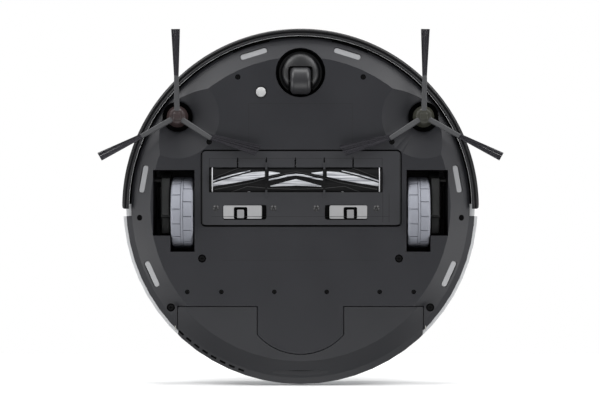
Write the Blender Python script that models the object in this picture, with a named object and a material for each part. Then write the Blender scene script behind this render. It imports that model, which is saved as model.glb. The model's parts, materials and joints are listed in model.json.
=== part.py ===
"""A round robot vacuum cleaner with a mopping tank, standing on its wheels on the floor z = 0.

Metres, +Z up. The bumper faces +Y, the water tank -Y; left is -X. Each sub-part is one object, and the
pieces that move have their origins on their joints' axes.
"""

import math

import bmesh
import bpy
from mathutils import Matrix, Vector

# Overall sizes
BODY_RADIUS = 0.1765  # bumper and top cover
BODY_HEIGHT = 0.0790  # floor to the top of the deck
CLEARANCE_UNDER = 0.0095  # floor to the flat underside
WALL = 0.0025
GAP = 0.0004  # between pieces that only sit beside each other
RUNNING_GAP = 0.0003  # between a shaft and its hole
FACETS = 60  # of every large circle, so that nested shells stay parallel

# Underside tray
BAND_RADIUS = BODY_RADIUS - 0.0095  # outer edge of the sloped band
FLAT_RADIUS = BAND_RADIUS - 0.0190  # where the flat underside turns up into the band
BAND_RISE = 0.0105
FRONT_WALL_RADIUS = BODY_RADIUS - 0.0090
REAR_WALL_RADIUS = BODY_RADIUS - 0.0039
WALL_FOOT = 0.0220  # height of the wall's lower edge
DECK_EDGE = 0.0110  # depth of the deck's rim
COVER_GAP = 0.0012  # round the brush cover
SCREW_SPOTS = (
    (0.1116, -0.0837, 0.0024),
    (0.0780, -0.0837, 0.0024),
    (0.0258, -0.0837, 0.0024),
    (0.0970, -0.0508, 0.0042),
    (0.1278, -0.0990, 0.0042),
    (0.0618, 0.1281, 0.0028),
    (0.0900, 0.0641, 0.0028),
)
SCREW_RECESS = 0.0016

# Bumper
BUMPER_WALL = 0.0020
BUMPER_FOOT = 0.0155
BUMPER_TOP_GAP = 0.0025
BUMPER_LIP = 0.0050
BUMPER_END_ANGLE = 3.0  # degrees that the gap behind each bumper end takes
SWITCH_X = 0.0750
SWITCH_Z = 0.0450
SWITCH_GAP = 0.0031  # from the tray's front wall to the middle of a switch

# Drive wheels and their arms
WHEEL_RADIUS = 0.0350
WHEEL_WIDTH = 0.0217
WHEEL_X = 0.1168
WHEEL_Y = -0.0053
WHEEL_SIDE_GAP = 0.00155
TYRE_THICKNESS = 0.0085
AXLE_RADIUS = 0.0040
ARM_WIDTH = 0.0150
ARM_SIDE_GAP = 0.0013
ARM_PIVOT_END = 0.0080  # radii of the arm's three round ends
ARM_AXLE_END = 0.0120
ARM_SPRING_END = 0.0055
PIVOT_Y = 0.0270
PIVOT_Z = 0.0420
PIVOT_RADIUS = 0.0025
SPRING_Y = -0.0210
SPRING_SEAT_Z = 0.0420
SPRING_RADIUS = 0.0042
SPRING_WIRE = 0.0005
SPRING_TURNS = 4
WHEEL_MOTOR_RADIUS = 0.0072
WHEEL_MOTOR_REAR = -0.0120
WHEEL_MOTOR_FRONT = 0.0200
WELL_FRONT_GAP = 0.0068
WELL_SLOT_GAP = 0.0039
WELL_REAR_GAP = 0.0018
WELL_HEADROOM = 0.0015
WELL_WALL = 0.0018

# Caster
CASTER_Y = 0.1326
CASTER_TRAIL = 0.0081
CASTER_RADIUS = 0.0135
CASTER_WIDTH = 0.0200
SOCKET_RADIUS = 0.0246
SOCKET_TOP = 0.0325
STEM_RADIUS = 0.0040
STEM_TOP = 0.0465
CASTER_AXLE_RADIUS = 0.0012
DOME_FOOT = 0.0080
CHEEK_THICKNESS = 0.0054

# Side brushes
SIDE_BRUSH_X = 0.1215
SIDE_BRUSH_Y = 0.0891
SIDE_BRUSH_REACH = 0.0858
SIDE_ARM_LENGTH = 0.0400
SIDE_HUB_RADIUS = 0.0080
SIDE_HUB_FOOT = 0.0048
SIDE_HUB_TOP = 0.0165
SIDE_SHAFT_RADIUS = 0.0030
SIDE_SHAFT_TOP = 0.0225
SIDE_MOTOR_FOOT = 0.0262
SIDE_MOTOR_TOP = 0.0520
SIDE_ARM_ANGLES = (90.0, 207.0, 332.0)  # of the right-hand brush at rest; the left one mirrors them
SIDE_RECESS_RADIUS = 0.0150
SIDE_RECESS_STEP = 0.0012
SCOOP_RADIUS = 0.0415
SCOOP_DEPTH = 0.0080
SCOOP_FRONT = 0.1168
SCOOP_REAR = 0.0470

# Roller brush, its cover and its housing
BRUSH_Y = 0.0269
BRUSH_RADIUS = 0.0215
BRUSH_FLOOR_GAP = 0.0055
BRUSH_Z = BRUSH_RADIUS + BRUSH_FLOOR_GAP
BRUSH_CORE = 0.0150
BRUSH_TWIST = -42.0  # degrees that each strip turns between the middle and an end
BRUSH_LEFT = -0.0803
BRUSH_RIGHT = 0.0895
BRUSH_STRIPS = 6
COVER_LEFT = -0.0985
COVER_RIGHT = 0.0971
COVER_REAR = -0.0177
COVER_FRONT = 0.0549
COVER_DROP = 0.0010  # how far the cover stands below the flat underside
COVER_THICKNESS = 0.0030
MOUTH_END_GAP = 0.0004
MOUTH_REAR = 0.0152
MOUTH_FRONT = 0.0386
RIB_SPOTS = (-0.0234, 0.0337)
SLIT_SPOTS = (-0.0518, -0.0234, 0.0051, 0.0337, 0.0619)
LATCH_SPOTS = ((-0.0657, -0.0285), (0.0380, 0.0760))
LATCH_REAR = -0.0116
LATCH_FRONT = 0.0015
LATCH_TRAVEL = 0.0040
HOUSING_WALL = 0.0022
HOUSING_GAP = 0.0025
DUCT_HALF_WIDTH = 0.0450
DUCT_FOOT = 0.0200
DUCT_HEIGHT = 0.0180
DRIVE_STUB_RADIUS = 0.0060
IDLE_STUB_RADIUS = 0.0040
END_CAP_RADIUS = 0.0110
MOTOR_RADIUS = 0.0130
BRUSH_MOTOR_Y = 0.0740
BRUSH_MOTOR_Z = 0.0330

# Water tank
TANK_FRONT = -0.0981
TANK_HALF_WIDTH = 0.1215
TONGUE_HALF_WIDTH = 0.0426
TONGUE_STRAIGHT_END = -0.1260
TONGUE_END = -0.1453
TANK_TOP = 0.0300
TANK_WALL = 0.0022
GRIP_HALF_WIDTH = 0.0285
GRIP_REAR = 0.0080 - BODY_RADIUS
GRIP_FRONT = GRIP_REAR + 0.0070
GRIP_DEPTH = 0.0090
FILLER_SPOT = (0.0800, -0.1230)
FILLER_RADIUS = 0.0090
PLUG_DEPTH = 0.0055

# Lid, dust bin and handle
LID_HALF_WIDTH = 0.0775
LID_REAR = -0.1180
LID_FRONT = -0.0040
LID_THICKNESS = 0.0030
LID_CORNER = 0.0120
HINGE_RADIUS = 0.0020
HINGE_PIN_RADIUS = 0.0008
BIN_SIDE_GAP = 0.0055
BIN_FRONT_GAP = 0.0010
BIN_REAR = -0.0600
BIN_FOOT = 0.0170
BIN_WALL = 0.0020
BIN_CORNER = 0.0030
BIN_UNDER_LID = 0.0050
FILTER_HALF_WIDTH = 0.0420
FILTER_FOOT = 0.0260
FILTER_TOP = 0.0620
FILTER_PLEATS = 24
HANDLE_THICKNESS = 0.0026
HANDLE_PIN_RADIUS = 0.0010
HANDLE_HALF_WIDTH = 0.0300
HANDLE_LENGTH = 0.0200
HANDLE_PIVOT_Y = -0.0330

# Laser turret
TURRET_Y = 0.0450
TURRET_RADIUS = 0.0440
TURRET_HEIGHT = 0.0170
SPINNER_RADIUS = 0.0370
SPINNER_PULLEY = 0.0330
MOTOR_PULLEY = 0.0050
PULLEY_SPACING = 0.0500
PULLEY_ANGLE = 30.0  # degrees round the turret, which puts the belt's motor in front of the brush housing
LIDAR_MOTOR_RADIUS = 0.0110
LIDAR_MOTOR_HEIGHT = 0.0130
BELT_THICKNESS = 0.0012

# Fan
FAN_X = 0.0450
FAN_Y = -0.0930
FAN_FOOT = 0.0345
FAN_RADIUS = 0.0305
FAN_HEIGHT = 0.0230
FAN_BLADES = 9
FAN_OUTLET_ANGLE = -60.0
FAN_OUTLET_GAP = 0.0069  # from the duct's end to the inside of the rear wall
IMPELLER_RADIUS = 0.0250
FAN_MOTOR_RADIUS = 0.0160
FAN_MOTOR_HEIGHT = 0.0150
VENT_SLOTS = 8
VENT_PITCH = 3.0  # degrees from slot to slot
VENT_START = -50.0
VENT_FOOT = 0.0360
VENT_TOP = 0.0540
VENT_HALF_WIDTH = 0.0018

# Battery, board, buttons
BATTERY_HALF_WIDTH = 0.0460
BATTERY_REAR = 0.0620
BATTERY_FRONT = 0.1020
BATTERY_HEIGHT = 0.0380
BATTERY_CORNER = 0.0060
BOARD_LEFT = -0.0700
BOARD_RIGHT = 0.0300
BOARD_REAR = 0.0640
BOARD_FRONT = 0.1080
BOARD_GAP = 0.0030
BOARD_THICKNESS = 0.0016
BUTTON_Y = 0.1220
BUTTON_X = 0.0130
BUTTON_RADIUS = 0.0070

# Sensor windows: degrees round the rim and distance outside the flat underside, of the right-hand ones
WINDOW_SPOTS = {"front": (73.0, 0.0105), "side": (10.1, 0.0096), "rear": (-24.3, 0.0133)}
WINDOW_LENGTH = 0.0270
WINDOW_WIDTH = 0.0062
WINDOW_THICKNESS = 0.0024
CARPET_SENSOR_SPOT = (0.0390, 0.1133)
CARPET_SENSOR_RADIUS = 0.0050

# Heights and places that follow from the sizes above
FLOOR_TOP = CLEARANCE_UNDER + WALL
DECK_UNDER = BODY_HEIGHT - WALL
WALL_TOP = BODY_HEIGHT - DECK_EDGE - 0.0003
BAND_TOP = CLEARANCE_UNDER + BAND_RISE
BAND_ANGLE = math.atan2(BAND_RISE, BAND_RADIUS - FLAT_RADIUS)
HUB_RADIUS = WHEEL_RADIUS - TYRE_THICKNESS
ARM_X = WHEEL_X + WHEEL_WIDTH / 2 + WHEEL_SIDE_GAP
WHEEL_MOTOR_Z = PIVOT_Z + ARM_PIVOT_END + 0.0013 + WHEEL_MOTOR_RADIUS
WELL_IN = WHEEL_X - WHEEL_WIDTH / 2 - WHEEL_SIDE_GAP
WELL_OUT = ARM_X + ARM_WIDTH + ARM_SIDE_GAP
WELL_FRONT = WHEEL_Y + WHEEL_RADIUS + WELL_FRONT_GAP
WELL_REAR = SPRING_Y - ARM_SPRING_END - WELL_REAR_GAP
WHEEL_SLOT_REAR = WHEEL_Y - WHEEL_RADIUS - WELL_SLOT_GAP
WELL_TOP = max(2 * WHEEL_RADIUS, WHEEL_MOTOR_Z + WHEEL_MOTOR_RADIUS) + WELL_HEADROOM
COVER_BOTTOM = CLEARANCE_UNDER - COVER_DROP
COVER_TOP = COVER_BOTTOM + COVER_THICKNESS
MOUTH_LEFT = BRUSH_LEFT - MOUTH_END_GAP
MOUTH_RIGHT = BRUSH_RIGHT + MOUTH_END_GAP
HINGE_Y = LID_REAR + HINGE_RADIUS
HINGE_Z = BODY_HEIGHT - HINGE_RADIUS
BIN_HALF_WIDTH = LID_HALF_WIDTH - BIN_SIDE_GAP
BIN_FRONT = LID_FRONT - BIN_FRONT_GAP
BIN_TOP = BODY_HEIGHT - LID_THICKNESS - BIN_UNDER_LID
HANDLE_Z = BIN_TOP + HANDLE_THICKNESS
SPINNER_FOOT = DECK_UNDER - 0.0075

for leftover in list(bpy.data.objects):
    bpy.data.objects.remove(leftover)


# ---------------------------------------------------------------- shapes


def add_object(name, shape, material=None, origin=(0, 0, 0)):
    """Turns a bmesh in world coordinates into an object whose origin is at the given point."""
    bmesh.ops.recalc_face_normals(shape, faces=shape.faces)
    bmesh.ops.translate(shape, verts=shape.verts, vec=-Vector(origin))
    mesh = bpy.data.meshes.new(name)
    shape.to_mesh(mesh)
    shape.free()
    mesh.shade_smooth()
    mesh.set_sharp_from_angle(angle=math.radians(32))
    if material:
        mesh.materials.append(material)
    made = bpy.data.objects.new(name, mesh)
    made.location = origin
    bpy.context.scene.collection.objects.link(made)
    return made


def ride_on(child, parent):
    """Parents an object and keeps it where it is."""
    child.parent = parent
    child.location = Vector(child.location) - Vector(parent.location)


def add_helper(name, shape):
    """An object that only cuts, joins or limits another."""
    helper = add_object(f"helper_{name}", shape)
    helper.hide_render = True
    helper.display_type = "WIRE"
    return helper


def combine(target, tool, operation):
    """Combines an object with a helper, or with a bmesh that becomes one."""
    if isinstance(tool, bmesh.types.BMesh):
        tool = add_helper(str(len(bpy.data.objects)), tool)
    modifier = target.modifiers.new(tool.name, "BOOLEAN")
    modifier.operation = operation
    modifier.object = tool


def cut(target, *tools):
    for tool in tools:
        combine(target, tool, "DIFFERENCE")


def join(target, *tools):
    for tool in tools:
        combine(target, tool, "UNION")


def keep(target, tool):
    combine(target, tool, "INTERSECT")


def along(axis):
    """How two outline coordinates and one length become x, y, z for a shape that runs along an axis."""
    return {
        "X": lambda a, b, length: (length, a, b),
        "Y": lambda a, b, length: (a, length, b),
        "Z": lambda a, b, length: (a, b, length),
    }[axis]


def prism(outline, low, high, axis="Z"):
    """A flat outline pushed from low to high along an axis."""
    place = along(axis)
    shape = bmesh.new()
    rings = [[shape.verts.new(place(a, b, end)) for a, b in outline] for end in (low, high)]
    for ring in rings:
        shape.faces.new(ring)
    for i in range(len(outline)):
        j = (i + 1) % len(outline)
        shape.faces.new((rings[0][i], rings[0][j], rings[1][j], rings[1][i]))
    return shape


def block(low, high):
    """A box between two corners."""
    plan = [(low[0], low[1]), (high[0], low[1]), (high[0], high[1]), (low[0], high[1])]
    return prism(plan, low[2], high[2])


def turned(profile, centre=(0, 0), axis="Z", start=0.0, end=360.0, facets=FACETS):
    """A closed outline of (radius, height) points turned round an axis, all the way or from start to end."""
    place = along(axis)
    step = 360.0 / facets
    whole = end - start >= 360.0
    if whole:
        angles = [start + step * i for i in range(facets)]
    else:
        inner = [step * i for i in range(-facets, 2 * facets) if start + 0.01 < step * i < end - 0.01]
        angles = [start, *inner, end]
    shape = bmesh.new()
    columns = []
    for radius, height in profile:
        if radius == 0:
            columns.append([shape.verts.new(place(centre[0], centre[1], height))] * len(angles))
            continue
        column = []
        for angle in map(math.radians, angles):
            a = centre[0] + radius * math.cos(angle)
            b = centre[1] + radius * math.sin(angle)
            column.append(shape.verts.new(place(a, b, height)))
        columns.append(column)
    for i, column in enumerate(columns):
        following = columns[(i + 1) % len(columns)]
        for j in range(len(angles) if whole else len(angles) - 1):
            k = (j + 1) % len(angles)
            corners = [column[j], column[k], following[k], following[j]]
            corners = [corner for n, corner in enumerate(corners) if corner not in corners[:n]]
            if len(corners) > 2:
                shape.faces.new(corners)
    if not whole:
        for j in (0, -1):
            shape.faces.new([column[j] for column in columns])
    return shape


def cylinder(centre, radius, low, high, axis="Z", facets=24):
    """A solid round bar along an axis."""
    return turned([(0, low), (radius, low), (radius, high), (0, high)], centre, axis, facets=facets)


def tube(centre, inner, outer, low, high, axis="Z", facets=24):
    """A round bar with a hole right through it."""
    return turned([(inner, low), (outer, low), (outer, high), (inner, high)], centre, axis, facets=facets)


def half_ring(inner, outer, low, high, front):
    """A ring's front or rear part, split at the gaps behind the bumper's ends."""
    start = -BUMPER_END_ANGLE if front else 180.0 + BUMPER_END_ANGLE
    end = 180.0 + BUMPER_END_ANGLE if front else 360.0 - BUMPER_END_ANGLE
    return turned([(inner, low), (outer, low), (outer, high), (inner, high)], start=start, end=end)


def rounded_rectangle(low, high, radius, steps=4):
    """The outline of a rectangle whose corners are arcs."""
    outline = []
    corners = ((high[0], high[1]), (low[0], high[1]), (low[0], low[1]), (high[0], low[1]))
    for quarter, (x, y) in enumerate(corners):
        centre_x = x - radius if x == high[0] else x + radius
        centre_y = y - radius if y == high[1] else y + radius
        for step in range(steps + 1):
            angle = math.radians(90.0 * (quarter + step / steps))
            outline.append((centre_x + radius * math.cos(angle), centre_y + radius * math.sin(angle)))
    return outline


def wrapped_circles(circles, steps=24):
    """The outline of a band pulled tight round circles (a, b, radius)."""
    points = []
    for a, b, radius in circles:
        for i in range(steps):
            angle = 2 * math.pi * i / steps
            points.append((a + radius * math.cos(angle), b + radius * math.sin(angle)))
    points = sorted(set(points))
    halves = []
    for ordered in (points, points[::-1]):
        half = []
        for point in ordered:
            while len(half) > 1 and turn_of(half[-2], half[-1], point) <= 0:
                half.pop()
            half.append(point)
        halves.append(half[:-1])
    return halves[0] + halves[1]


def turn_of(a, b, c):
    """Above zero where the way from a over b to c turns left."""
    return (b[0] - a[0]) * (c[1] - a[1]) - (b[1] - a[1]) * (c[0] - a[0])


def merged(*shapes):
    """Several separate shapes as one bmesh."""
    whole = bmesh.new()
    for shape in shapes:
        bmesh.ops.recalc_face_normals(shape, faces=shape.faces)
        copy = bpy.data.meshes.new("copy")
        shape.to_mesh(copy)
        shape.free()
        whole.from_mesh(copy)
        bpy.data.meshes.remove(copy)
    return whole


def moved(shape, matrix):
    """The same shape, moved or turned by a matrix."""
    bmesh.ops.transform(shape, matrix=matrix, verts=shape.verts)
    return shape


# ---------------------------------------------------------------- materials


def new_material(name, colour, roughness, metallic=0.0):
    material = bpy.data.materials.new(name)
    material.use_nodes = True
    shader = material.node_tree.nodes["Principled BSDF"]
    shader.inputs["Base Color"].default_value = (*colour, 1.0)
    shader.inputs["Roughness"].default_value = roughness
    shader.inputs["Metallic"].default_value = metallic
    material.diffuse_color = (*colour, 1.0)
    return material


TRAY_GREY = new_material("tray_grey", (0.030, 0.030, 0.034), 0.45)
COVER_GREY = new_material("cover_grey", (0.040, 0.041, 0.044), 0.40)
BUMPER_BLACK = new_material("bumper_black", (0.012, 0.012, 0.014), 0.20)
SHELL_WHITE = new_material("shell_white", (0.80, 0.80, 0.80), 0.30)
LATCH_GREY = new_material("latch_grey", (0.27, 0.27, 0.27), 0.45)
LENS_GREY = new_material("lens_grey", (0.32, 0.32, 0.33), 0.25)
TYRE_GREY = new_material("tyre_grey", (0.30, 0.30, 0.36), 0.75)
DARK_PLASTIC = new_material("dark_plastic", (0.015, 0.015, 0.017), 0.35)
BRUSH_BLACK = new_material("brush_black", (0.020, 0.020, 0.022), 0.60)
CLEAR_SMOKE = new_material("clear_smoke", (0.10, 0.10, 0.11), 0.15)
STEEL = new_material("steel", (0.60, 0.60, 0.60), 0.30, 1.0)
MOTOR_STEEL = new_material("motor_steel", (0.45, 0.45, 0.46), 0.35, 1.0)
BOARD_GREEN = new_material("board_green", (0.02, 0.12, 0.05), 0.50)
BATTERY_WRAP = new_material("battery_wrap", (0.02, 0.05, 0.20), 0.40)
FILTER_WHITE = new_material("filter_white", (0.75, 0.75, 0.70), 0.90)
HUB_COLOURS = {
    "left": new_material("side_brush_green", (0.10, 0.13, 0.06), 0.50),
    "right": new_material("side_brush_red", (0.16, 0.07, 0.05), 0.50),
}
SIDES = {"left": -1, "right": 1}


# ---------------------------------------------------------------- underside tray


def tray_blank(inset, top):
    """The tray's outer form up to a height, or a form that much inside it."""
    return turned(
        [
            (0, CLEARANCE_UNDER + inset),
            (FLAT_RADIUS - inset / 2, CLEARANCE_UNDER + inset),
            (BAND_RADIUS - inset / 2, BAND_TOP + inset),
            (REAR_WALL_RADIUS - inset, WALL_FOOT + inset),
            (REAR_WALL_RADIUS - inset, top),
            (0, top),
        ]
    )


def tank_outline(grow, tongue_grow):
    """The tank's plan, seen from above, with the U-shaped tongue of the tray left out of its front."""
    front = TANK_FRONT + grow
    half = TANK_HALF_WIDTH + grow
    tongue = TONGUE_HALF_WIDTH - tongue_grow
    depth = TONGUE_STRAIGHT_END - (TONGUE_END + tongue_grow)
    radius = (tongue * tongue + depth * depth) / (2 * depth)
    centre_y = TONGUE_END + tongue_grow + radius
    spread = math.asin(tongue / radius)
    turns = [spread * (2 * i / 11 - 1) for i in range(12)]
    bow = [(radius * math.sin(turn), centre_y - radius * math.cos(turn)) for turn in turns]
    rear = -BODY_RADIUS - 0.010
    left = [(-half, rear), (-half, front), (-tongue, front)]
    right = [(tongue, front), (half, front), (half, rear)]
    return [*left, *bow, *right]


def side_scoops(sign, grow):
    """The cone and the round recess that a side brush turns in."""
    centre = (sign * SIDE_BRUSH_X, SIDE_BRUSH_Y)
    foot = CLEARANCE_UNDER - 0.002 + grow
    slope = SCOOP_DEPTH / (SCOOP_RADIUS - SIDE_RECESS_RADIUS)
    top = CLEARANCE_UNDER + SCOOP_DEPTH + grow
    wide = SCOOP_RADIUS + (CLEARANCE_UNDER - foot) / slope + grow / slope
    return turned(
        [
            (0, foot),
            (wide, foot),
            (SIDE_RECESS_RADIUS + grow, top),
            (SIDE_RECESS_RADIUS + grow, top + SIDE_RECESS_STEP),
            (0, top + SIDE_RECESS_STEP),
        ],
        centre,
        facets=30,
    )


def scoop_shape(name, sign, grow):
    """The scoop between its two straight edges, as a helper."""
    scoop = add_helper(name, side_scoops(sign, grow))
    low_x, high_x = sorted((sign * 0.060, sign * (BODY_RADIUS + 0.03)))
    keep(scoop, block((low_x, SCOOP_REAR - grow, 0.0), (high_x, SCOOP_FRONT + grow, 0.05)))
    return scoop


def window_block(sign, place, grow, low, high):
    """A window's rounded plate between two depths below the band's face, or its pocket."""
    angle, distance = WINDOW_SPOTS[place]
    half_width = WINDOW_WIDTH / 2 + grow
    half_length = WINDOW_LENGTH / 2 + grow
    outline = rounded_rectangle((-half_width, -half_length), (half_width, half_length), half_width * 0.7, 2)
    height = CLEARANCE_UNDER + distance * math.tan(BAND_ANGLE)
    turn = Matrix.Rotation(math.radians(angle if sign > 0 else 180.0 - angle), 4, "Z")
    stand = Matrix.Translation((FLAT_RADIUS + distance, 0, height)) @ Matrix.Rotation(-BAND_ANGLE, 4, "Y")
    return moved(prism(outline, low, high), turn @ stand)


def wheel_well(sign, grow, low, high):
    """The well's plan: a wide bay for wheel and arm, and a narrow slot behind it for the wheel alone."""
    inner, outer = WELL_IN - grow, WELL_OUT + grow
    slot = WHEEL_X + WHEEL_WIDTH / 2 + 0.0006 + grow
    front, rear, slot_rear = WELL_FRONT + grow, WELL_REAR - grow, WHEEL_SLOT_REAR - grow
    plan = [(inner, slot_rear), (slot, slot_rear), (slot, rear)]
    plan += [(outer, rear), (outer, front), (inner, front)]
    return prism([(sign * x, y) for x, y in plan], low, high)


def base_shell():
    """The tray that carries everything: floor, sloped band, walls, wells, scoops and the tank's bay."""
    tray = add_object("base_shell", tray_blank(0.0, WALL_TOP), TRAY_GREY)
    cut(tray, half_ring(FRONT_WALL_RADIUS, BODY_RADIUS + 0.02, 0.0, BODY_HEIGHT + 0.01, front=True))
    hollow = [
        (0, FLOOR_TOP),
        (FLAT_RADIUS - WALL / 4, FLOOR_TOP),
        (FRONT_WALL_RADIUS - WALL, BAND_TOP + WALL),
        (FRONT_WALL_RADIUS - WALL, BODY_HEIGHT),
        (0, BODY_HEIGHT),
    ]
    cut(tray, turned(hollow))
    rear_inner = REAR_WALL_RADIUS - WALL
    rear_hollow = [
        (FRONT_WALL_RADIUS - 0.006, WALL_FOOT + WALL),
        (rear_inner, WALL_FOOT + WALL),
        (rear_inner, BODY_HEIGHT + 0.002),
        (FRONT_WALL_RADIUS - 0.006, BODY_HEIGHT + 0.002),
    ]
    end_wall = BUMPER_END_ANGLE + 1.0
    cut(tray, turned(rear_hollow, start=180.0 + end_wall, end=360.0 - end_wall))
    join(tray, tray_bosses())
    for sign in SIDES.values():
        cut(tray, scoop_shape(f"scoop_{sign}", sign, 0.0))
        cut(tray, wheel_well(sign, 0.0, 0.0, WELL_TOP))
        shaft = (sign * SIDE_BRUSH_X, SIDE_BRUSH_Y)
        cut(tray, cylinder(shaft, SIDE_SHAFT_RADIUS + GAP, 0.0, 0.030, facets=16))
        pin_low, pin_high = sorted((sign * (WELL_OUT - 0.003), sign * (WELL_OUT + 0.006)))
        cut(tray, cylinder((PIVOT_Y, PIVOT_Z), PIVOT_RADIUS + RUNNING_GAP, pin_low, pin_high, "X", 16))
        for place in WINDOW_SPOTS:
            cut(tray, window_block(sign, place, GAP, -0.006, 0.006))
    cut(tray, prism(tank_outline(GAP, GAP), 0.0, TANK_TOP + GAP))
    socket = [
        (0, 0.0),
        (SOCKET_RADIUS, 0.0),
        (SOCKET_RADIUS, SOCKET_TOP),
        (STEM_RADIUS + RUNNING_GAP, SOCKET_TOP),
        (STEM_RADIUS + RUNNING_GAP, STEM_TOP + 0.0010),
        (0, STEM_TOP + 0.0010),
    ]
    cut(tray, turned(socket, (0, CASTER_Y), facets=28))
    bay_outline = rounded_rectangle(
        (COVER_LEFT - COVER_GAP, COVER_REAR - 0.0020),
        (COVER_RIGHT + COVER_GAP, COVER_FRONT + 0.0016),
        0.005,
    )
    cut(tray, prism(bay_outline, 0.0, FLOOR_TOP + 0.001))
    holes = []
    for x, y, radius in SCREW_SPOTS:
        for sign in SIDES.values():
            spot = (sign * x, y)
            holes.append(cylinder(spot, radius, 0.0, CLEARANCE_UNDER + SCREW_RECESS, facets=8))
    cut(tray, merged(*holes))
    cut(tray, cylinder(CARPET_SENSOR_SPOT, CARPET_SENSOR_RADIUS + GAP, 0.0, 0.03, facets=20))


def tray_bosses():
    """The walls that stand on the tray's floor, kept inside its outer form."""
    foot = FLOOR_TOP - 0.001
    stem_wall = STEM_RADIUS + WALL + RUNNING_GAP
    socket = [
        (0, foot),
        (SOCKET_RADIUS + WALL, foot),
        (SOCKET_RADIUS + WALL, SOCKET_TOP + WALL),
        (stem_wall, SOCKET_TOP + WALL),
        (stem_wall, STEM_TOP + WALL),
        (0, STEM_TOP + WALL),
    ]
    wells = [wheel_well(sign, WELL_WALL, foot, WELL_TOP + WELL_WALL) for sign in SIDES.values()]
    bosses = add_helper("bosses", merged(turned(socket, (0, CASTER_Y), facets=28), *wells))
    join(bosses, prism(tank_outline(WALL, WALL), foot, TANK_TOP + WALL + 0.0005))
    for sign in SIDES.values():
        join(bosses, scoop_shape(f"scoop_boss_{sign}", sign, WALL))
    keep(bosses, tray_blank(0.0007, BODY_HEIGHT))
    keep(bosses, bosses_limit())
    return bosses


def bosses_limit():
    """The room inside the walls, narrower along the front where the bumper is."""
    outline = []
    for i in range(FACETS):
        angle = math.radians(360.0 * i / FACETS)
        radius = (FRONT_WALL_RADIUS if math.sin(angle) > -0.01 else REAR_WALL_RADIUS) - 0.0008
        outline.append((radius * math.cos(angle), radius * math.sin(angle)))
    return prism(outline, 0.0, 0.1)


def sensors():
    """The six windows that look for an edge, and the small round eye that looks for a carpet."""
    for side, sign in SIDES.items():
        for place in WINDOW_SPOTS:
            add_object(
                f"cliff_window_{place}_{side}",
                window_block(sign, place, 0.0, 0.0008, 0.0008 + WINDOW_THICKNESS),
                LENS_GREY,
            )
    dome = [
        (0, CLEARANCE_UNDER - 0.0012),
        (CARPET_SENSOR_RADIUS * 0.6, CLEARANCE_UNDER - 0.0010),
        (CARPET_SENSOR_RADIUS, CLEARANCE_UNDER),
        (CARPET_SENSOR_RADIUS, CLEARANCE_UNDER + 0.005),
        (0, CLEARANCE_UNDER + 0.005),
    ]
    add_object("carpet_sensor", turned(dome, CARPET_SENSOR_SPOT, facets=20), LENS_GREY)


# ---------------------------------------------------------------- top cover, lid and buttons


def lid_plan(grow):
    """The lid's outline from above, or its opening's, with room behind for the knuckle."""
    low = (-LID_HALF_WIDTH - grow, LID_REAR - 0.020)
    high = (LID_HALF_WIDTH + grow, LID_FRONT + grow)
    return rounded_rectangle(low, high, LID_CORNER + grow)


def top_cover():
    """The deck with its rim, and the skirt round the rear half."""
    edge = 0.0020
    rim = BODY_RADIUS - 0.0003
    inner = REAR_WALL_RADIUS + 0.0006
    deck = [
        (0, DECK_UNDER),
        (inner - 0.004, DECK_UNDER),
        (inner - 0.004, WALL_TOP + 0.0003),
        (rim, WALL_TOP + 0.0003),
        (rim, BODY_HEIGHT - 2 * edge),
        (rim - edge / 2, BODY_HEIGHT - edge / 2),
        (rim - 2 * edge, BODY_HEIGHT),
        (0, BODY_HEIGHT),
    ]
    cover = add_object("top_cover", turned(deck), SHELL_WHITE)
    join(cover, half_ring(inner, rim, TANK_TOP + 0.002, WALL_TOP + 0.002, front=False))
    opening = add_helper("lid_opening", prism(lid_plan(0.0006), DECK_UNDER - 0.01, BODY_HEIGHT + 0.01))
    keep(opening, block((-0.2, LID_REAR - 0.0006, 0.0), (0.2, 0.2, 0.2)))
    cut(cover, opening)
    ears = [
        block(
            (x - 0.0022, HINGE_Y - 0.004, DECK_UNDER - 0.0015),
            (x + 0.0022, HINGE_Y + 0.004, DECK_UNDER + 0.001),
        )
        for x in (-LID_HALF_WIDTH - 0.003, LID_HALF_WIDTH + 0.003)
    ]
    join(cover, *ears)
    pin_end = LID_HALF_WIDTH + 0.0035
    cut(cover, cylinder((HINGE_Y, HINGE_Z), HINGE_PIN_RADIUS + RUNNING_GAP, -pin_end, pin_end, "X", 12))
    cut(cover, cylinder((0, TURRET_Y), SPINNER_PULLEY + 0.0020, 0.0, 0.2, facets=36))
    for sign in SIDES.values():
        cut(cover, cylinder((sign * BUTTON_X, BUTTON_Y), BUTTON_RADIUS + GAP, 0.0, 0.2, facets=24))
    cut(cover, merged(*vent_slots()))


def vent_slots():
    """Upright air slots through the skirt behind the fan."""
    slots = []
    for i in range(VENT_SLOTS):
        angle = math.radians(VENT_START - VENT_PITCH * i)
        slot = block(
            (BODY_RADIUS - 0.012, -VENT_HALF_WIDTH, VENT_FOOT),
            (BODY_RADIUS + 0.010, VENT_HALF_WIDTH, VENT_TOP),
        )
        slots.append(moved(slot, Matrix.Rotation(angle, 4, "Z")))
    return slots


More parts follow.
